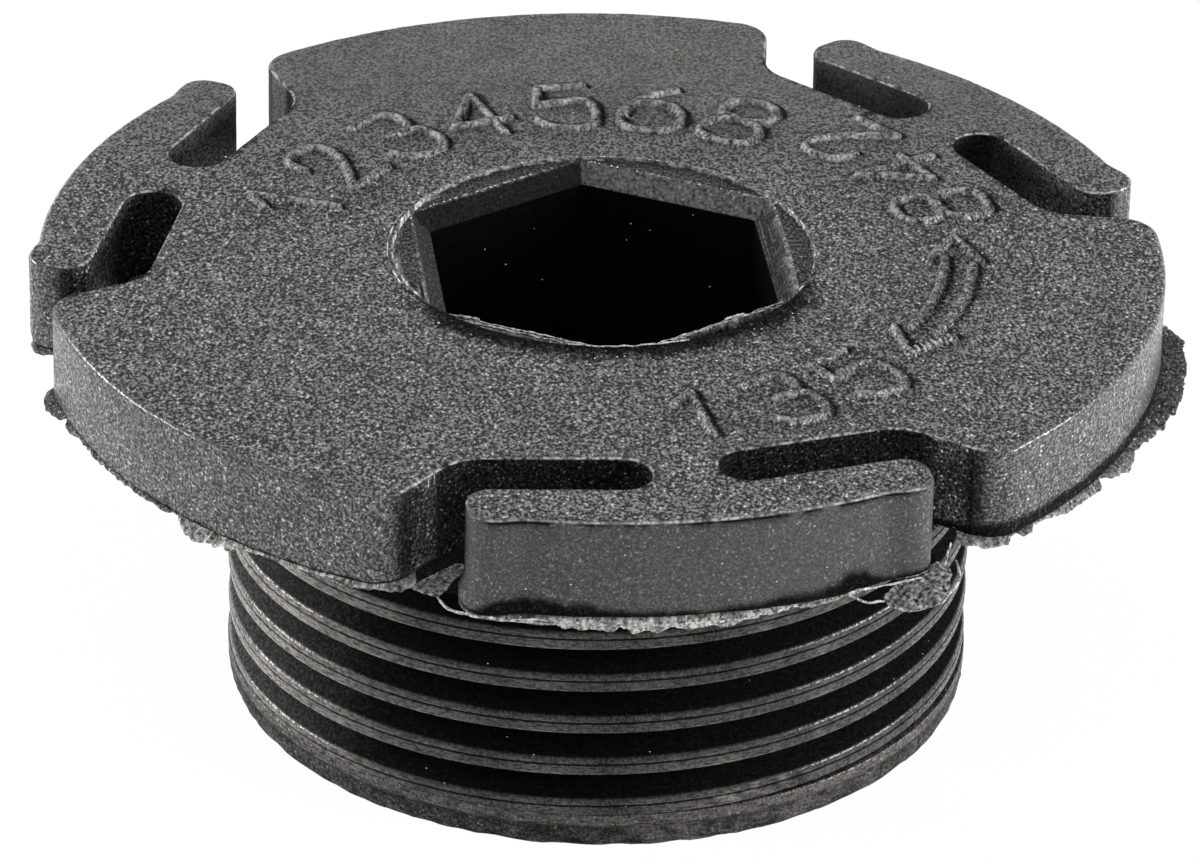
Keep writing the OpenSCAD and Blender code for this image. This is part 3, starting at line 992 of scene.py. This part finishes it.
def add_flash(shape, border):
    """A ragged fin along the lower edge of the head, hidden in it where there is no flash."""
    loop = dense(list(border) + [border[0]], FLASH_STEP)[:-1]
    out = outward(loop)
    spots = lift(loop, 0)
    angles = np.degrees(np.arctan2(loop[:, 1], loop[:, 0]))
    table = np.array(FLASH)
    width, droop, pale = (
        np.interp(angles, table[:, 0], column, period=360) for column in table[:, 1:].T
    )
    front = smooth((-0.6 - loop[:, 1] / RIM_R) / 0.2)
    lobes = 1 + (0.1 + 0.22 * front) * waves(spots, 0.55, 32) + 0.2 * np.abs(waves(spots, 0.3, 33))
    width = width * lobes + 0.025 * waves(spots, 0.16, 37)
    rim = smooth((np.hypot(*loop.T) - RIM_R + 1.5) / 0.5)
    width = np.clip(width * rim, 0, FLASH_MOST) - 0.1 * (1 - rim)
    along, down = np.cos(np.radians(droop)), np.sin(np.radians(droop))
    crumple, fine = waves(spots, 0.35, 35), waves(spots, 0.14, 36)
    ribs = waves(np.column_stack([angles * 0.35, loop * 0.02]), 0.2, 38)
    sag = finger_sag(loop)

    def row(share, side):
        reach = width * max(share, 0)
        bend = max(share, 0) ** 2
        x = reach * along - FLASH_ROOT * (share < 0)
        z = FLASH_RISE - sag - reach * down * (0.6 + 0.4 * bend) + crumple * reach * 0.25
        z = z + (0.03 * fine + 0.03 * ribs) * (share > 0) * (0.4 + share)
        z = z + side * FLASH_THICK / 2 * (1 - 0.5 * max(share, 0))
        return np.column_stack([loop + out * x[:, None], z])

    shares = np.array((-1, 0, 0.25, 0.5, 0.75, 0.92, 1))
    rows = [row(s, 1) for s in shares] + [row(s, -1) for s in shares[::-1]]
    edge = np.interp(shares, [0.6, 0.92, 1], [0, 0.5, 0.8]) * smooth((np.abs(shares) - 0.1) / 0.2)
    streaks = 0.25 + 0.9 * smooth(0.5 + 1.2 * fine)
    rim_wear = (0.15 + 0.85 * pale) * smooth(0.5 + crumple)
    wear_and_highlight = [np.clip(pale ** 1.5 * streaks + share * rim_wear, 0, 1) for share in edge]
    # Painted shade darkens the flash where it meets the head, less where it is torn pale
    soot_and_shade = [smooth((0.2 - share) / 0.2) * (1 - pale) for share in shares]
    both = [np.array(values + values[::-1]) for values in (soot_and_shade, wear_and_highlight)]
    shape.band(rows, 0, ring=True, soot_and_shade=both[0], wear_and_highlight=both[1])


# Scraps of flash, each with its corners and then the settings of add_scrap: the torn web in the gap
# left of the front finger, the crumpled lump right of it, and a dark web in the left finger's slot
SCRAPS = (
    (((-5.5, -16.35), (-5.17, -15.8), (-4.6, -15.15), (-4.0, -14.6), (-3.9, -15.1), (-4.25, -15.9),
      (-4.5, -16.5), (-4.67, -16.8)),
     0, 0.05, 0.02, 61, 0.3, 0.25),
    (((8.4, -15.4), (8.6, -15.9), (9.05, -16.15), (9.65, -16.15), (10.15, -15.95), (10.4, -15.3),
      (10.5, -14.7), (10.25, -14.2), (9.7, -14.5), (9.1, -14.9)),
     -0.25, 0.1, 0.1, 67, 0.4, 0.65, (0.1, 0.28), 0.06),
    (((-15.45, 2.1), (-14.95, 4.5), (-13.55, 4.1), (-14.0, 1.9)),
     0.06, 0.05, 0.02, 63, 0.02, 0.1),
)
# Torn strings under the front finger: the places they pass, their thickness and their seed
TORN_STRINGS = (
    (((10.15, -16.0, -0.3), (10.55, -15.4, -0.2), (10.75, -14.8, -0.05), (10.6, -14.2, 0.15)),
     0.08, 71),
    (((10.2, -14.5, -0.2), (10.3, -14.35, 0.2), (10.45, -14.1, 0.7)), 0.13, 75),
    (((-4.75, -16.1, -0.1), (-4.6, -16.6, -0.25), (-4.3, -17.0, -0.3), (-3.5, -17.35, -0.3),
      (-2.4, -17.55, -0.31), (-1.2, -17.62, -0.33), (-0.6, -17.6, -0.26)),
     0.09, 79),
    (((-2.7, -17.55, -0.32), (-2.1, -17.6, -0.2), (-1.0, -17.68, -0.25), (0.6, -17.74, -0.29),
      (2.6, -17.6, -0.28), (4.8, -17.1, -0.26)),
     0.06, 89),
    (((7.35, -16.0, -0.05), (7.9, -16.1, -0.3), (8.5, -15.75, -0.42)), 0.07, 83),
    (((7.35, -16.0, -0.02), (8.3, -15.6, -0.02), (9.6, -15.0, 0)), 0.07, 85),
)


def add_thread_line(shape, places, thick, seed, finish=1):
    """A thin torn string of plastic through some places, each (x, y, z)."""
    path = dense(list(rounded(places, 3)), 0.06)
    path = path + 0.04 * np.column_stack([waves(path, 0.35, seed + k) for k in range(3)])
    along = np.gradient(path, axis=0)
    along /= np.linalg.norm(along, axis=1)[:, None]
    side = np.cross(along, (0, 0, 1))
    up = np.cross(side, along)
    taper = smooth(from_ends(len(path)) / 4 + 0.1)
    half = thick / 2 * taper * (1 + 0.5 * waves(path, 0.2, seed + 3))
    turns = np.radians(np.arange(0, 360, 60))
    rows = [path + (side * math.cos(t) + up * math.sin(t)) * half[:, None] for t in turns]
    wear_and_highlight = 0.6 + 0.4 * np.tile(waves(path, 0.15, seed + 5), len(rows))
    shape.band(rows, finish, closed=False, ring=True, wear_and_highlight=wear_and_highlight)


def add_scrap(shape, corners, z, thickness, crumple, seed, pale, contrast, tilt=(0, 0), step=0.08):
    """A crumpled plate of flash with a rounded outline; tilt is its slope along X and Y.

    Pale is how pale it is torn, and contrast how speckled, each from 0 to 1.
    """
    corners = np.array(corners, float)
    outline = rounded(np.vstack([corners, corners[:2]]), 3)[4:-4]
    outline = dense(list(outline), step)
    outline = outline[np.hypot(*(outline - np.roll(outline, 1, axis=0)).T) > step / 5]
    outline = outline + 0.05 * np.column_stack([waves(lift(outline, k), 0.2, seed) for k in (0, 5)])
    middle = outline.mean(0)
    grid = triangular_grid(np.abs(outline - middle).max(), step) + middle
    grid = grid[inside(grid, outline)]
    grid = grid[nearest_distance(grid, outline) > step / 2]
    flat, faces = triangulate(np.vstack([outline, grid]), loop_edges(outline))
    faces = faces[inside(flat[faces].mean(1), outline)]
    height = z + (flat - middle) @ np.array(tilt)
    creases = waves(lift(flat, 0), 0.4, seed + 1) + 0.6 * waves(lift(flat, 0), 0.17, seed + 2)
    height = height + crumple * creases
    edge = np.clip(nearest_distance(flat, outline) / 0.2, 0.15, 1)
    top = lift(flat, height + thickness / 2 * edge)
    low = lift(flat, height - thickness / 2 * edge)
    rim = smooth(1 - nearest_distance(flat, outline) / 0.14)
    grit = waves(lift(flat, 0), 0.12, seed + 3)
    wear_and_highlight = np.clip(pale * (1 + 3 * contrast * grit) + 0.6 * rim * smooth(0.6 + grit), 0, 1)
    soot_and_shade = np.clip(-2.6 * contrast * grit, 0, 1) * (1 - rim)
    shape.add(top, faces, 0, soot_and_shade, wear_and_highlight)
    shape.add(low, faces[:, ::-1], 0, soot_and_shade, wear_and_highlight)
    n = len(outline)
    shape.band([top[:n], low[:n]], 0, soot_and_shade=np.tile(soot_and_shade[:n], 2), wear_and_highlight=np.tile(wear_and_highlight[:n], 2))


def lead_in_place(turn, out, rise):
    """A place beside the upper edge of the lead-in: how far outside it and over the ledge."""
    off = (turn - SOCKET_ANGLE) % 60 - 30
    reach = (SOCKET_AF / 2 + WORN_LEAD_IN_W + out) / math.cos(math.radians(off))
    spot = min(reach, MOUTH_R + 0.02) * unit(turn)
    return (*spot, TOP_Z - RECESS_H - NEAR_DROP + rise)


# Threads along the lead-in: first and last angle, how far outside it and over the ledge they lie,
# their thickness and their seed
MOUTH_THREADS = (
    (-84, -25, 0.02, 0.1, 0.05, 101), (-70, -36, 0.12, 0.12, 0.04, 107),
    (-143, -84, 0.02, 0.08, 0.042, 119), (-138, -92, 0.24, 0.1, 0.042, 125),
    (-50, -43, 0.1, 0.2, 0.08, 131), (-134, -128, 0.1, 0.18, 0.07, 137),
)
# Lips round the mouth: first and last angle, distance from it, height, width and seed
MOUTH_LIPS = (
    (-214, -146, 0.02, 0.09, 0.045, 41), (-205, -155, 0.17, 0.05, 0.04, 47),
    (-36, 36, 0.02, 0.04, 0.03, 53),
)


def add_mouth_burr(shape):
    """Ragged pale threads and lips of plastic that stand along the socket's mouth."""
    for first, last, out, rise, thick, seed in MOUTH_THREADS:
        turns = np.linspace(first, last, max(5, int(abs(last - first) / 2)))
        add_thread_line(shape, [lead_in_place(t, out, rise) for t in turns], thick, seed, 0)
    corner = [(*((MOUTH_R + 0.01) * unit(t)), TOP_Z + 0.07) for t in np.linspace(-99, -66, 14)]
    add_thread_line(shape, corner, 0.045, 113, 0)
    for first, last, out, rise, wide, seed in MOUTH_LIPS:
        radius = MOUTH_R + out
        count = int(math.radians(last - first) * radius / 0.05)
        angles = np.linspace(first, last, count)
        base = np.array([radius * unit(a) for a in angles])
        spots = lift(base, 0)
        ends = smooth(from_ends(count) / 12)
        sway = 0.05 * waves(spots, 0.5, seed) + 0.03 * waves(spots, 0.15, seed + 1)
        top = rise * (0.8 + 0.9 * waves(spots, 0.4, seed + 2) + 0.6 * waves(spots, 0.12, seed + 3))
        half = wide / 2 * (1 + 0.6 * waves(spots, 0.25, seed + 4))
        around = np.array([unit(a) for a in angles])

        def row(offset, z):
            return np.column_stack([base + around * (offset * ends)[:, None], TOP_Z + z])

        height = np.maximum(top, 0.01) * ends - 0.02 * (1 - ends)
        low = np.full(count, -0.2)
        rows = [
            row(-half * 1.4, low), row(sway * 0.3 - half, height * 0.4),
            row(sway - half * 0.6, height), row(sway + half * 0.6, height * 0.96),
            row(sway * 0.5 + half * 1.2, height * 0.4), row(half * 1.6, low),
        ]
        worn = smooth(0.5 + 1.2 * waves(spots, 0.3, seed + 5) + waves(spots, 0.13, seed + 6))
        shape.band(rows, 0, closed=False, ring=True, wear_and_highlight=np.tile(worn * 0.85, len(rows)))


# Points of a speck: its foot, a ring of five and its tip
SPECK = (
    (0, 0, -0.5), (0.9, 0, 0), (0.3, 0.85, 0), (-0.75, 0.5, 0), (-0.7, -0.6, 0), (0.3, -0.9, 0),
    (0, 0, 0.6),
)
TOP_SPECKS = 70
WALL_SPECKS = 60
SOCKET_SPECKS = 9
FAR_EDGE_CRUMBS = 110
MOAT_CRUMBS = 190
THREAD_SPECKS = 40
DUST_SEED = 7


def add_speck(shape, place, size, seed, finish):
    """A tiny irregular crumb that sits on the surface at a place."""
    points = np.array(SPECK) * size / 2
    dents = np.column_stack([waves(points, size * 0.6, seed + k) for k in range(3)])
    faces = [(0, 1 + (k + 1) % 5, 1 + k) for k in range(5)]
    faces += [(6, 1 + k, 1 + (k + 1) % 5) for k in range(5)]
    shape.add(points * (1 + 0.35 * dents) + place, faces, finish)


def add_dust(shape, rng, outline):
    """Pale specks of dust strewn over the top, the sides, the thread and round the socket."""
    for k in range(TOP_SPECKS):
        radius, angle = math.sqrt(rng.uniform(8 ** 2, 16.4 ** 2)), rng.uniform(0, 360)
        size = rng.uniform(0.05, 0.1)
        spot = [*(radius * unit(angle)), TOP_Z + size * 0.2]
        if inside(np.array([spot[:2]]), outline)[0]:
            add_speck(shape, spot, size, k, 0)
    for k in range(WALL_SPECKS):
        angle, z = rng.uniform(-170, -10), rng.uniform(0.5, 2.8)
        spot = (RIM_R + 0.005) * unit(angle)
        if nearest_distance(np.array([spot]), outline)[0] < 0.06:
            add_speck(shape, [*spot, z], rng.uniform(0.05, 0.11), 100 + k, 0)
    # A few specks lie in the socket, on the walls that face the front
    for k in range(SOCKET_SPECKS):
        wall = SOCKET_ANGLE + 60 * (k % 2)
        angle = wall + rng.uniform(12, 48)
        reach = (SOCKET_AF / 2 - 0.01) / math.cos(math.radians(angle - wall - 30))
        spot = [*(reach * unit(angle)), rng.uniform(-1.5, 2.2)]
        add_speck(shape, spot, rng.uniform(0.05, 0.09), 300 + k, 0)
    # Crumbs dot the far edges of the mouth and of the lead-in
    for k in range(FAR_EDGE_CRUMBS):
        turn = rng.uniform(30, 165)
        spot = lead_in_place(turn, 0, NEAR_DROP)
        if k % 3 == 0:
            spot = [*((MOUTH_R + 0.03) * unit(turn)), TOP_Z]
        if waves([(turn / 30, 0, k % 2)], 0.5, 46)[0] > -0.2:
            add_speck(shape, spot, rng.uniform(0.06, 0.11), 400 + k, 0)
    # Smaller ones are strewn over the dark strip on the near side of the mouth
    for k in range(MOAT_CRUMBS):
        turn, out = rng.uniform(-165, -5), rng.uniform(0.1, 1.2)
        size = rng.uniform(0.04, 0.085)
        add_speck(shape, [*((MOUTH_R + out) * unit(turn)), TOP_Z + 0.02], size, 600 + k, 0)
    # Two rusty specks lie on the top
    add_speck(shape, [0, -7.6, TOP_Z + 0.03], 0.13, 320, 1)
    add_speck(shape, [2.28, 14.6, TOP_Z + 0.03], 0.16, 321, 1)
    for k in range(THREAD_SPECKS):
        angle, z = rng.uniform(-165, -15), rng.uniform(END_Z + 0.9, -3.4)
        spot = [*((CREST_R - 0.02) * unit(angle)), z]
        add_speck(shape, spot, rng.uniform(0.04, 0.08), 200 + k, 0)


# Colours of worn places and painted highlights, and of sooty places and painted shade; the greasy
# one also carries the thread's painted sheen
PALE = (0.4, 0.388, 0.37)
RUSTY = (0.32, 0.29, 0.26)
GREASE_AND_SHEEN = (0.37, 0.345, 0.31)
SHADE_AND_SOOT = (0.002, 0.002, 0.002)
# Range of the grain's noise from its valleys to its peaks, and of the few whitest peaks. The dark
# valleys are partly painted shade, and the pale and white peaks partly painted glints
GRAIN = (0.36, 0.66)
WHITE = (0.67, 0.74)
# How many times longer the grain is along Y
GRAIN_STRETCH = 1.5
# The grain of the head is calmer from here to there along Y, in mm
CALM = (2, 13)
# Size of the spots that break up soot, painted shade, wear and painted highlights, and of those on
# a streaked finish
SPOT = 0.13
STREAK_SPOT = 0.06
# Size of the soft patches of a mottled colour
PATCH = 1.7
# How rough and how glossy soot and painted shade are
SHADE_AND_SOOT_ROUGHNESS = 0.75
SHADE_AND_SOOT_GLOSS = 0.12


def math_node(tree, operation, first, second):
    """The result of a Math node for a socket and another socket or number."""
    node = tree.nodes.new("ShaderNodeMath")
    node.operation = operation
    tree.links.new(first, node.inputs[0])
    if isinstance(second, (int, float)):
        node.inputs[1].default_value = second
    else:
        tree.links.new(second, node.inputs[1])
    return node.outputs[0]


def map_range(tree, value, low, high, to_low, to_high):
    """The result of a soft Map Range node."""
    node = tree.nodes.new("ShaderNodeMapRange")
    node.interpolation_type = "SMOOTHSTEP"
    limits = {"From Min": low, "From Max": high, "To Min": to_low, "To Max": to_high}
    for name, number in limits.items():
        node.inputs[name].default_value = number
    tree.links.new(value, node.inputs["Value"])
    return node.outputs["Result"]


def plastic(name, valley, peak, roughness, grain, specular=0.5, ripple=None, mottle=0, white=0,
            worn=PALE, streak=1):
    """A plastic that the soot and painted shade of its points blacken, and their wear and painted
    highlights pale.

    Valley and peak are the greys of the grain's valleys and peaks, or colours: the dark valleys are
    partly painted shade in its pits, and the pale peaks partly painted glints. Grain and ripple are
    (size of the bumps, their depth) in mm. Mottle is how much the colour varies in soft patches,
    white how white the few highest peaks are, as painted glints, worn the colour of a worn place
    and of a painted highlight, and streak how many times longer the worn and highlighted spots are
    round the plug than along its axis.
    """
    material = bpy.data.materials.new(name)
    material.use_nodes = True
    tree = material.node_tree
    nodes, links = tree.nodes, tree.links
    shader = nodes["Principled BSDF"]
    place = nodes.new("ShaderNodeTexCoord")

    def noise_at(size, detail, stretch=(1, 1, 1)):
        texture = nodes.new("ShaderNodeTexNoise")
        texture.inputs["Scale"].default_value = 1 / (size * MM)
        texture.inputs["Detail"].default_value = detail
        squeeze = nodes.new("ShaderNodeVectorMath")
        squeeze.operation = "MULTIPLY"
        squeeze.inputs[1].default_value = [1 / length for length in stretch]
        links.new(place.outputs["Object"], squeeze.inputs[0])
        links.new(squeeze.outputs[0], texture.inputs["Vector"])
        return texture.outputs["Fac"]

    def mapped(value, *limits):
        return map_range(tree, value, *limits)

    def combined(operation, first, second):
        return math_node(tree, operation, first, second)

    def blended(first, second, share):
        """A mix of two colours, each a colour or a socket."""
        node = nodes.new("ShaderNodeMix")
        node.data_type = "RGBA"
        links.new(share, node.inputs["Factor"])
        for socket, value in ((node.inputs[6], first), (node.inputs[7], second)):
            if isinstance(value, tuple):
                socket.default_value = (*value, 1)
            else:
                links.new(value, socket)
        return node.outputs[2]

    def tone(name):
        node = nodes.new("ShaderNodeAttribute")
        node.attribute_name = name
        return node.outputs["Fac"]

    def grey(value):
        return value if isinstance(value, tuple) else (value, value * 0.985, value * 0.97)

    split = nodes.new("ShaderNodeSeparateXYZ")
    links.new(place.outputs["Object"], split.inputs[0])
    calm = mapped(split.outputs["Y"], CALM[0] * MM, CALM[1] * MM, 1, 0.3)
    centred = combined("SUBTRACT", noise_at(grain[0], 1, (1, GRAIN_STRETCH, 1)), 0.5)
    height = combined("ADD", combined("MULTIPLY", centred, calm), 0.5)
    level = mapped(height, *GRAIN, 0, 1)
    broken = noise_at(SPOT if streak == 1 else STREAK_SPOT, 2, (streak, streak, 1))
    # Soot and painted shade from the points, broken into spots, blacken the colour and dull the
    # gloss; wear and painted highlights pale it
    soot_and_shade = combined("MULTIPLY", mapped(tone("soot_and_shade"), 0, 1, 0, 1), mapped(broken, 0.3, 0.5, 0.8, 1))
    normal = None
    bumps = [(height, grain[1])]
    if ripple:
        bumps.append((noise_at(ripple[0], 2), ripple[1]))
    for value, depth in bumps:
        bump = nodes.new("ShaderNodeBump")
        bump.inputs["Strength"].default_value = 1
        bump.inputs["Distance"].default_value = depth * MM
        links.new(value, bump.inputs["Height"])
        if normal:
            links.new(normal, bump.inputs["Normal"])
        normal = bump.outputs["Normal"]
    links.new(normal, shader.inputs["Normal"])
    patches = mapped(noise_at(PATCH, 3), 0.35, 0.6, 0, 1)
    dark = tuple(c * (1 - mottle) for c in grey(peak))
    colour = blended(grey(valley), blended(dark, grey(peak), patches), level)
    if white:
        colour = blended(colour, grey(white), mapped(height, *WHITE, 0, 1))
    colour = blended(colour, SHADE_AND_SOOT, soot_and_shade)
    wear_and_highlight = combined("MULTIPLY", tone("wear_and_highlight"), mapped(broken, 0.36, 0.6, 0.15, 1))
    links.new(blended(colour, worn, wear_and_highlight), shader.inputs["Base Color"])
    grain_rough = mapped(level, 0, 1, min(1, roughness + 0.3), roughness)
    rough = combined("MAXIMUM", mapped(soot_and_shade, 0, 1, roughness, SHADE_AND_SOOT_ROUGHNESS), grain_rough)
    links.new(rough, shader.inputs["Roughness"])
    grain_gloss = mapped(level, 0, 1, specular * 0.35, specular)
    gloss = combined("MULTIPLY", grain_gloss, mapped(soot_and_shade, 0, 1, 1, SHADE_AND_SOOT_GLOSS))
    links.new(gloss, shader.inputs["Specular IOR Level"])
    return material


moulding_finishes = [
    plastic("grained_plastic", 0.008, 0.15, 0.32, (0.09, 0.11), 0.55, mottle=0.25, white=0.6),
    plastic("satin_plastic", 0.014, 0.12, 0.12, (0.085, 0.012), 1, (0.5, 0.01), 0.2, 0.5),
    plastic("smooth_plastic", 0.04, 0.057, 0.38, (0.08, 0.012), 0.5, (0.8, 0.03), 0.15, 0.2),
    plastic("glossy_plastic", 0.002, 0.009, 0.2, (0.09, 0.008), 0.5, (0.5, 0.01), 0.3, 0.03,
            worn=GREASE_AND_SHEEN, streak=4),
    plastic("scuffed_plastic", 0.004, 0.02, 0.4, (0.09, 0.03), 0.5, (0.4, 0.04), 0.5, 0.15,
            worn=RUSTY, streak=7),
    plastic("socket_plastic", 0.006, 0.05, 0.4, (0.09, 0.05), 0.5, (0.35, 0.04), 0.5, 0.3),
    # Painted shade: plain black for the deep socket
    plastic("socket_shade_plastic", SHADE_AND_SOOT, SHADE_AND_SOOT, 0.6, (0.15, 0.03), 0.1),
    # Painted shade: a darker, duller finish for the walls of the slots
    plastic("slot_shade_plastic", 0.001, 0.08, 0.4, (0.09, 0.05), 0.4, mottle=0.5, white=0.75),
]

outline = head_outline()
normals = outward(outline)
strokes = mark_strokes()
shape = Shape()
mouth = add_socket(shape)
walls = wall_rows(outline, normals)
add_top(shape, walls[0][:, :2], mouth, strokes)
hanging = sagged(walls, outline)
shape.band(hanging, wall_finishes(outline), soot_and_shade=wall_shade(outline, walls),
           wear_and_highlight=wall_glint(outline, normals, walls))
collar_loop = np.array([COLLAR_R * unit(a) for a in np.linspace(-90, 270, SHANK_COLUMNS + 1)[:-1]])
add_underside(shape, hanging[-1], collar_loop)
add_shank(shape, SHANK_COLUMNS)
plug = shape.build("plug_moulding", moulding_finishes, 38)
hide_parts(NODE)

torn_edge = plastic("torn_edge_plastic", 0.03, 0.1, 0.45, (0.09, 0.05), worn=(0.75, 0.73, 0.7))
torn_skin = plastic("torn_plastic", 0.004, 0.05, 0.45, (0.09, 0.05), ripple=(0.3, 0.05), mottle=0.4,
                    white=0.4, worn=(0.5, 0.48, 0.455))
flash = Shape()
add_flash(flash, walls[-1][:, :2])
for corners, *settings in SCRAPS:
    add_scrap(flash, corners, *settings)
for places, thick, seed in TORN_STRINGS:
    add_thread_line(flash, places, thick, seed)
flash.build("mould_flash", [torn_skin, torn_edge], 30)

burr = Shape()
add_mouth_burr(burr)
burr.build("mouth_burr", [torn_edge], 30)

dust = Shape()
add_dust(dust, np.random.default_rng(DUST_SEED), outline)
dust_finishes = [
    plastic("pale_dust", 0.35, 0.5, 0.8, (0.1, 0.01)),
    plastic("rusty_dust", (0.3, 0.14, 0.06), (0.4, 0.2, 0.09), 0.8, (0.1, 0.01)),
]
dust.build("dust_specks", dust_finishes, 30, 0)

# Camera, at the place from which the photograph was taken
CAMERA_DISTANCE = 222.93
CAMERA_ELEVATION = 26.917
CAMERA_TILT = 1.438
CAMERA_ROLL = 1.134
CAMERA_LENS = 214.45
SENSOR_WIDTH = 36


def add_camera():
    data = bpy.data.cameras.new("camera")
    data.sensor_fit = "HORIZONTAL"
    data.sensor_width = SENSOR_WIDTH
    data.lens = CAMERA_LENS
    data.clip_start = 0.01
    data.clip_end = 10
    camera = new_object("camera", data)
    bpy.context.scene.camera = camera
    rise = unit(CAMERA_ELEVATION)
    place = Vector((0, -CAMERA_DISTANCE * rise[0], TOP_Z + CAMERA_DISTANCE * rise[1])) * MM
    pitch = math.radians(90 - CAMERA_ELEVATION - CAMERA_TILT)
    turn = Matrix.Rotation(pitch, 4, "X") @ Matrix.Rotation(math.radians(CAMERA_ROLL), 4, "Z")
    camera.matrix_world = Matrix.Translation(place) @ turn


FLOOR_SIZE = 2.0
# How far the floor lies under the plug, so that the two faces don't share one plane
FLOOR_GAP = 0.02
# Share of plain white in the floor, as the camera and as glossy surfaces see it
FLOOR_WHITE_SEEN = 0.98
FLOOR_WHITE_MIRRORED = 1
ROOM_LIGHT = 0.45
# Heights on the unit sphere where the white walls of the room end and its dim ceiling starts
WALL_TOP = 0.5
CEILING_START = 0.8
CEILING_LIGHT = 0.12
# Name, azimuth, elevation, distance in m, (width, height) in m and power in W
LAMPS = (
    ("key_lamp", -10, 62, 0.5, (0.6, 0.06), 1.45),
    ("left_panel", -104, 9, 0.6, (0.4, 0.2), 4.4),
    ("right_panel", 82, 9, 0.6, (0.4, 0.2), 5.6),
)


def light_path_share(tree, camera_share, mirror_share):
    """A socket with one share for camera rays and one for glossy and transmission rays."""
    ray = tree.nodes.new("ShaderNodeLightPath").outputs
    mirrored = math_node(tree, "MAXIMUM", ray["Is Glossy Ray"], ray["Is Transmission Ray"])
    seen = math_node(tree, "MULTIPLY", ray["Is Camera Ray"], camera_share)
    return math_node(tree, "MAXIMUM", seen, math_node(tree, "MULTIPLY", mirrored, mirror_share))


def white_floor():
    """Nearly white for the camera, and lit as a white floor is, so that a faint shadow stays."""
    material = bpy.data.materials.new("white_floor")
    material.use_nodes = True
    nodes, links = material.node_tree.nodes, material.node_tree.links
    nodes.remove(nodes["Principled BSDF"])
    diffuse = nodes.new("ShaderNodeBsdfDiffuse")
    diffuse.inputs["Color"].default_value = (0.9, 0.9, 0.9, 1)
    glow = nodes.new("ShaderNodeEmission")
    mix = nodes.new("ShaderNodeMixShader")
    share = light_path_share(material.node_tree, FLOOR_WHITE_SEEN, FLOOR_WHITE_MIRRORED)
    links.new(share, mix.inputs["Fac"])
    links.new(diffuse.outputs[0], mix.inputs[1])
    links.new(glow.outputs[0], mix.inputs[2])
    links.new(mix.outputs[0], nodes["Material Output"].inputs["Surface"])
    return material


def add_floor():
    half = FLOOR_SIZE / 2
    mesh = bpy.data.meshes.new("floor")
    corners = [(-half, -half, 0), (half, -half, 0), (half, half, 0), (-half, half, 0)]
    mesh.from_pydata(corners, [], [(0, 1, 2, 3)])
    mesh.materials.append(white_floor())
    floor = new_object("floor", mesh)
    floor.location.z = (END_Z - END_DROP - FLOOR_GAP) * MM


def add_lamp(name, azimuth, elevation, distance, size, power):
    """A flat lamp, (width, height), that looks at the plug; azimuth 0 is behind the camera."""
    data = bpy.data.lights.new(name, "AREA")
    data.shape = "RECTANGLE"
    data.size, data.size_y = size
    data.energy = power
    lamp = new_object(name, data)
    flat = unit(azimuth - 90) * math.cos(math.radians(elevation))
    away = Vector((flat[0], flat[1], math.sin(math.radians(elevation))))
    lamp.location = away * distance
    lamp.rotation_euler = away.to_track_quat("Z", "Y").to_euler()


def add_world():
    """A white room: full white to look at and in reflections, and softer as a light."""
    world = bpy.data.worlds.new("white_room")
    bpy.context.scene.world = world
    world.use_nodes = True
    background = world.node_tree.nodes["Background"]
    background.inputs["Color"].default_value = (1, 1, 1, 1)
    tree = world.node_tree
    nodes, links = tree.nodes, tree.links
    # The walls of the room are white, and its ceiling is dim
    place = nodes.new("ShaderNodeTexCoord")
    split = nodes.new("ShaderNodeSeparateXYZ")
    links.new(place.outputs["Generated"], split.inputs[0])
    ceiling = map_range(tree, split.outputs["Z"], WALL_TOP, CEILING_START, 1, CEILING_LIGHT)
    strength = nodes.new("ShaderNodeMix")
    strength.inputs[2].default_value = ROOM_LIGHT
    links.new(light_path_share(tree, 1, 1), strength.inputs[0])
    links.new(ceiling, strength.inputs[3])
    links.new(strength.outputs[0], background.inputs["Strength"])


add_camera()
add_floor()
for lamp in LAMPS:
    add_lamp(*lamp)
add_world()
bpy.context.scene.view_settings.view_transform = "Standard"
